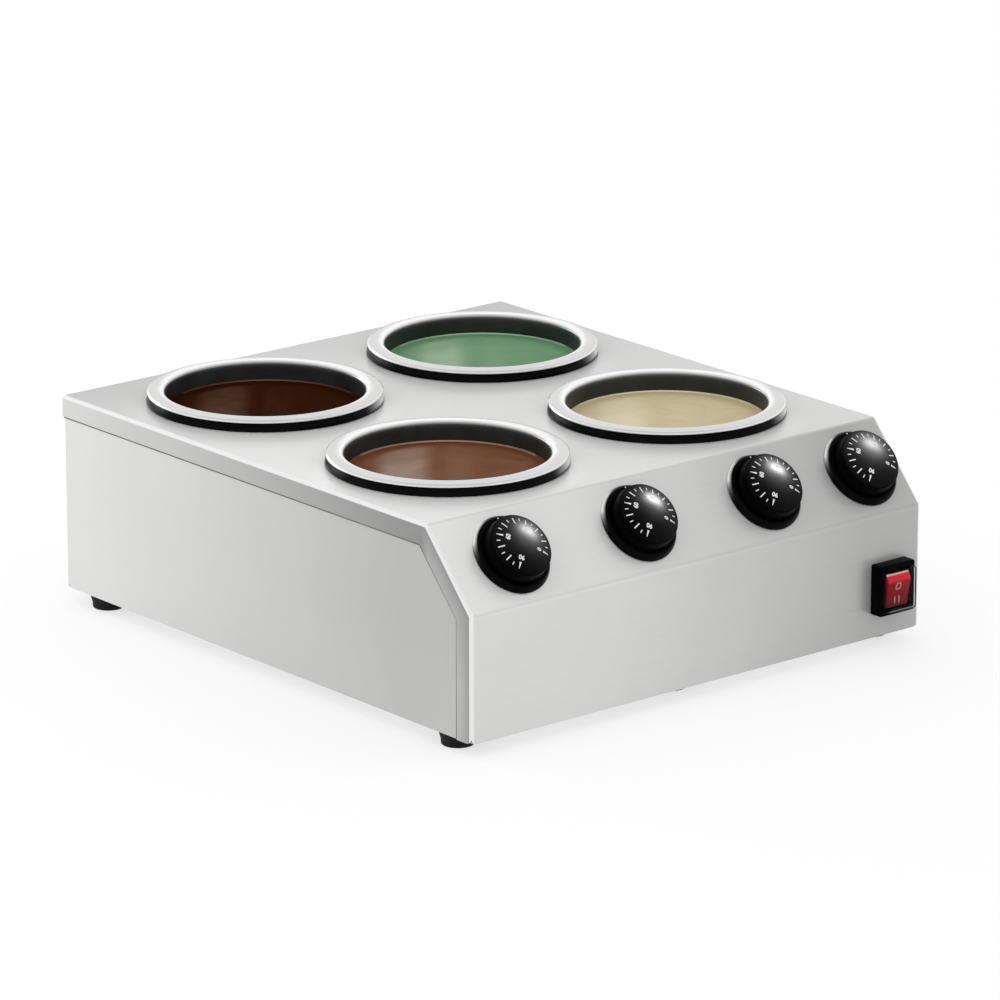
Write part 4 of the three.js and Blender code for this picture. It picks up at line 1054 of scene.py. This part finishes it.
def rocker_key():
    """The side view of the key, drawn in a little towards both flanks."""
    half_wide, end = 10.3, 12
    face = concatenate([linspace(-11.4, 6.9, 20), linspace(7.2, 11.6, 6)])
    low = rounded([(-end, 4.6, 0), (-end, rocker_face(-end), 0.5), (-11.4, rocker_face(-11.4), 0)], steps=4)
    back = polar(np.radians(linspace(0, -180, 17)), 5)
    loop = concatenate([low[:-1], stack([face, rocker_face(face)], 1), [[end, 2.4], [end, 1.8]], back,
                        [[-end, 3.5]]])
    # Painted highlight on the top face: bright red, and almost white along its top edge.
    shine = fading(loop[:, 0], 6.6, 0.8) * (loop[:, 1] > 1.9) * (1 + fading(loop[:, 0], 11.2, 0.4))
    middle = array([0, 2])
    away = loop - middle
    size = np.linalg.norm(away, axis=1, keepdims=True)
    insets, shifts = (0.5, 0.15, 0, 0, 0.15, 0.5), (0, 0.15, 0.5)
    acrosses = [-half_wide + d for d in shifts] + [half_wide - d for d in shifts[::-1]]
    grid = stack([upright(x, middle + away * (1 - inset / size)) for inset, x in zip(insets, acrosses)])
    shape = Shape().tube(placed(grid, *ROCKER_WHERE), mark=shine)
    pin = turned(rounded([(0, -11.9, 0), (1.6, -11.9, 0.2), (1.6, 11.9, 0.2), (0, 11.9, 0)], steps=2), 20)
    shape.add(placed(pin[..., [2, 0, 1]], *ROCKER_WHERE))
    shape.finish("rocker_key", "rocker_red", rocker_red, "rocker", replaces=["switch_rocker"], sharp=35)


def rocker_marks():
    """A ring near the rocker's top and two bars below it, laid on the face."""
    shape, lift = Shape(), 0.06
    t = linspace(0, 2 * pi, 41)[:-1, None]
    ring = array([[1.7, 2.45]])
    x = np.sign(np.cos(t)) * np.abs(np.cos(t)) ** 0.6 * ring - 0.6
    y = 3.2 + np.sign(np.sin(t)) * np.abs(np.sin(t)) ** 0.6 * ring * 1.1
    top, bottom = (stack([x, y, rocker_face(y) + d], 2) for d in (lift, -lift))
    loop = stack([top[:, 0], top[:, 1], bottom[:, 1], bottom[:, 0]])
    shape.add(placed(loop, *ROCKER_WHERE), closed=True)
    for bar in (-2.4, 1.6):
        x, y = np.meshgrid([bar - 0.4, bar + 0.4], linspace(-9.4, -4.4, 6))
        shape.slab(x, y, rocker_face(y), lift, lift, ROCKER_WHERE)
    shape.finish("rocker_marks", "rocker_red", mark_pink, "rocker", sharp=40)


def clear_cap():
    """A thin domed cap over the rocker: outer skin up and over, inner skin back down."""
    low, reach, wall, soft, side = FRAME_REACH + SEAT, 5.2, 0.8, 1.5, (13, 15, 2)
    outer = [(*side, low), *softened(*side, low + reach - soft, soft, 0.4, linspace(0, 90, 7))]
    inner = [(w - wall, h - wall, max(r - wall, 0.4), z - wall) for w, h, r, z in outer[:0:-1]]
    inner.append((13 - wall, 15 - wall, 1.2, low))
    up, down = stacked(outer), stacked(inner)
    shape = Shape().add(up).cap(up[-1]).add(down).cap(down[0]).add(stack([down[-1], up[0]]))
    shape.finish("clear_cap", "cap_clear", cap_clear, replaces=["switch_cover"])


switch_frame()
rocker_key()
rocker_marks()
clear_cap()


# Feet, gland and screws

DOWNWARD = ((1, 0, 0), (0, -1, 0), (0, 0, -1))
BACKWARD = ((-1, 0, 0), (0, 0, 1), (0, 1, 0))


def screw(name, origin, ways, radius=3, rise=1.3):
    """A pan head with a cross: height falls with the radius, less a groove along both axes."""
    shares = concatenate([linspace(0, 0.8, 13), [0.9, 0.97, 1]])
    share, _, x, y = disc_grid(shares, 48, radius)
    near = np.minimum(np.abs(x), np.abs(y))
    groove = clip(1.6 - near / (0.13 * radius), 0, 1) * clip((0.72 - share) / 0.1, 0, 1)
    z = 0.05 + rise * (1 - share ** 4) * 0.8 + rise * 0.15 * (share < 0.999) - 0.55 * rise * groove
    top = stack([x, y, z], 2)
    rim = top[-1:] * [1, 1, 0] + [0, 0, 0.02]
    grid = placed(concatenate([top, rim]), origin, *ways)
    Shape().add(grid).cap(grid[-1]).finish(name, "panel_steel", screw_steel, sharp=35)


def rubber_foot(spot):
    low, high = box_mm(f"foot_{spot}")
    centre, top = (low + high)[:2] / 2, high[2]
    profile = rounded([
        (0, 4, 0), (5, 4, 0.3), (5, 0, 0.3), (11.2, 0, 1), (11.5, 2.6, 0.4), (11.2, 3.2, 0.3),
        (11.5, 3.8, 0.4), (12.9, 9, 0.5), (12.6, top, 0.3), (0, top, 0),
    ], steps=4)
    lathe_piece(f"rubber_foot_{spot}", profile, 64, "foot_rubber", foot_rubber, centre,
                replaces=[f"foot_{spot}"])
    screw(f"foot_screw_{spot}", (*centre, 3.9), DOWNWARD, 3.4, 1.6)


def cord_gland():
    """Body, dome nut and seal turned about the gland's axis; rows whose third number is 1 are hexagons."""
    where = ((0, rear_high[1], 36), *BACKWARD)
    hexagon = lambda low, high: [(corner - 0.9, low, 1), (corner, low + 0.5, 1), (corner, high - 0.5, 1),
                                 (corner - 0.9, high, 1)]
    corner, bore, bottom = 12.4, 4.8, 2 * SEAT + 5
    body = [(bore, -10, 0), (8, -10, 0), (8, SEAT, 0), *hexagon(SEAT, SEAT + 5), (8, SEAT + 5, 0), (8, 13.8, 0),
            (bore, 13.8, 0)]
    crown = [(corner * 0.866 - (1 - cos(a)) * 3, bottom + 7.9 + 6.1 * sin(a), 0)
             for a in np.radians(linspace(8, 76, 8))]
    nut = [(8.3, bottom, 0), *hexagon(bottom, bottom + 7.7), *crown, (8.2, bottom + 14, 0),
           (5.3, bottom + 14, 0), (5.1, bottom + 12.8, 0), (8.3, bottom + 11.2, 0)]
    for name, rows, node in (("gland_hex_body", body, "gland_body"), ("gland_dome_nut", nut, "gland_nut")):
        rows = array(rows)
        lathe_piece(name, rows[:, :2], 72, "gland_black", gland_black, where=where, replaces=[node],
                    sharp=25, hex_rows=rows[:, 2])
    low = SEAT + 5 + 12 - 3.4 + SEAT
    seal = rounded([(bore, low, 0.1), (8, low, 0.2), (8, low + 1.7, 0.3), (5.05, low + 3.4, 0.1),
                    (bore, low + 3.4, 0.1)], steps=3, closed=True)
    lathe_piece("gland_ring_seal", seal, 56, "seal_rubber", seal_rubber, where=where,
                replaces=["gland_seal"], sharp=40)


for row in ("front", "rear"):
    for column in ("left", "middle", "right"):
        rubber_foot(f"{row}_{column}")
_, rear_high = box_mm("rear_panel")
cord_gland()
for word, side in SIDES.items():
    for level, height in (("upper", DECK - LIP - 12), ("lower", 24)):
        screw(f"rear_screw_{level}_{word}", (side * (rear_high[0] - 9), rear_high[1], height), BACKWARD)
base_low, base_high = box_mm("base_plate")
for i, y in enumerate(linspace(base_low[1] + 60, base_high[1] - 60, 3)):
    for word, side in SIDES.items():
        screw(f"base_screw_{word}_{i + 1}", (side * (base_high[0] - 8), y, base_low[2]), DOWNWARD)


# Materials on the CAD nodes that stay in view

CARRIED = {
    "rear_panel": rear_steel, "base_plate": base_steel, "gland_locknut": gland_black,
    "terminal_block": terminal_white, "wiring_harness": sleeve_grey,
    **{f"heater_{place}": heater_metal for place in PLACES},
    **{f"{kind}_{number}": material for number in NUMBERS for kind, material in (
        ("spindle", spindle_steel), ("thermostat", thermostat_metal), ("sensor", sensor_copper))},
}
for name, material in CARRIED.items():
    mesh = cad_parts[name].data
    mesh.materials.clear()
    mesh.materials.append(material)


# Floor, lights and camera

def rays(g):
    """Whether a ray comes from the camera, and whether from a mirror or through glass."""
    path = g.node("LightPath")
    return path["Is Camera Ray"], g.maths("MAXIMUM", path["Is Glossy Ray"], path["Is Transmission Ray"])


def pale_floor():
    """A wide disc whose height is zero everywhere; it shows white to the camera and keeps the shadow."""
    rings = array([(12000, 0), (3000, 0), (900, 0), (300, 0), (0, 0)])
    made, g, shader = new_material("pale_floor", Roughness=0.9, Specular_IOR_Level=0, Emission_Strength=1)
    seen = g.maths("MAXIMUM", *rays(g))
    plain = g.mixed(g.noise(g.place(), 3), evenly(0.8), evenly(0.84))
    g.feed(shader, {"Base Color": g.mixed(seen, plain, evenly(0.42)),
                    "Emission Color": g.mixed(seen, evenly(0), evenly(0.64))})
    floor = new_object("floor", Shape().add(turned(rings, 96)).mesh("floor", made))


def studio_world():
    """White to the camera; metal and glass see it fade a little towards the ceiling."""
    world = bpy.data.worlds.new("studio")
    world.use_nodes = True
    bpy.context.scene.world = world
    background = world.node_tree.nodes["Background"].inputs
    g = Graph(world.node_tree)
    seen, mirrored = rays(g)
    ceiling = g.mapped(g.parts(g.place("Generated"))["Z"], 0.35, 1, 1, 0.6)
    level = g.blend(seen, g.blend(mirrored, 0.85, ceiling), 1)
    g.feed(background, {"Strength": level, "Color": (1, 1, 1, 1)})


def aimed(made, target, way, distance):
    """Stands an object off a target along a direction, facing the target."""
    way = Vector(way).normalized()
    made.location = Vector(target) + way * distance
    made.rotation_euler = way.to_track_quat("Z", "Y").to_euler()
    return made


def softbox(name, toward, distance, wide, high, radiance):
    """An area lamp that faces the object; its power is its radiance times its area times pi."""
    lamp = bpy.data.lights.new(name, "AREA")
    lamp.shape = "RECTANGLE"
    lamp.size, lamp.size_y = wide, high
    lamp.energy = radiance * wide * high * pi
    return aimed(new_object(name, lamp), (0, 0, 0.1), toward, distance)


def photo_camera():
    """The camera stands off a point of the housing along the measured direction."""
    azimuth, elevation, distance = radians(-39.78), radians(16.74), 4.5
    sensor, lens_per_sensor = 36, 6.426
    target = (32.1 * MM, 23.2 * MM, 75 * MM)
    way = (sin(azimuth) * cos(elevation), -cos(azimuth) * cos(elevation), sin(elevation))
    data = bpy.data.cameras.new("photo_camera")
    data.sensor_width, data.lens = sensor, sensor * lens_per_sensor
    data.clip_start, data.clip_end = 0.05, 100
    camera = new_object("photo_camera", data)
    bpy.context.scene.camera = aimed(camera, target, way, distance)


pale_floor()
studio_world()
knob_lamp = softbox("knob_lamp", (0.743, -0.146, 0.653), 4.07, 0.4, 0.8, 1350)
knob_caps = bpy.data.collections.new("knob_caps")
for number in NUMBERS:
    knob_caps.objects.link(bpy.data.objects[f"domed_knob_{number}"])
knob_lamp.light_linking.receiver_collection = knob_caps
softbox("back_softbox", (-0.15, 0.95, 0.28), 2.2, 1.4, 0.5, 2.5)
photo_camera()
bpy.context.scene.view_settings.view_transform = "Standard"
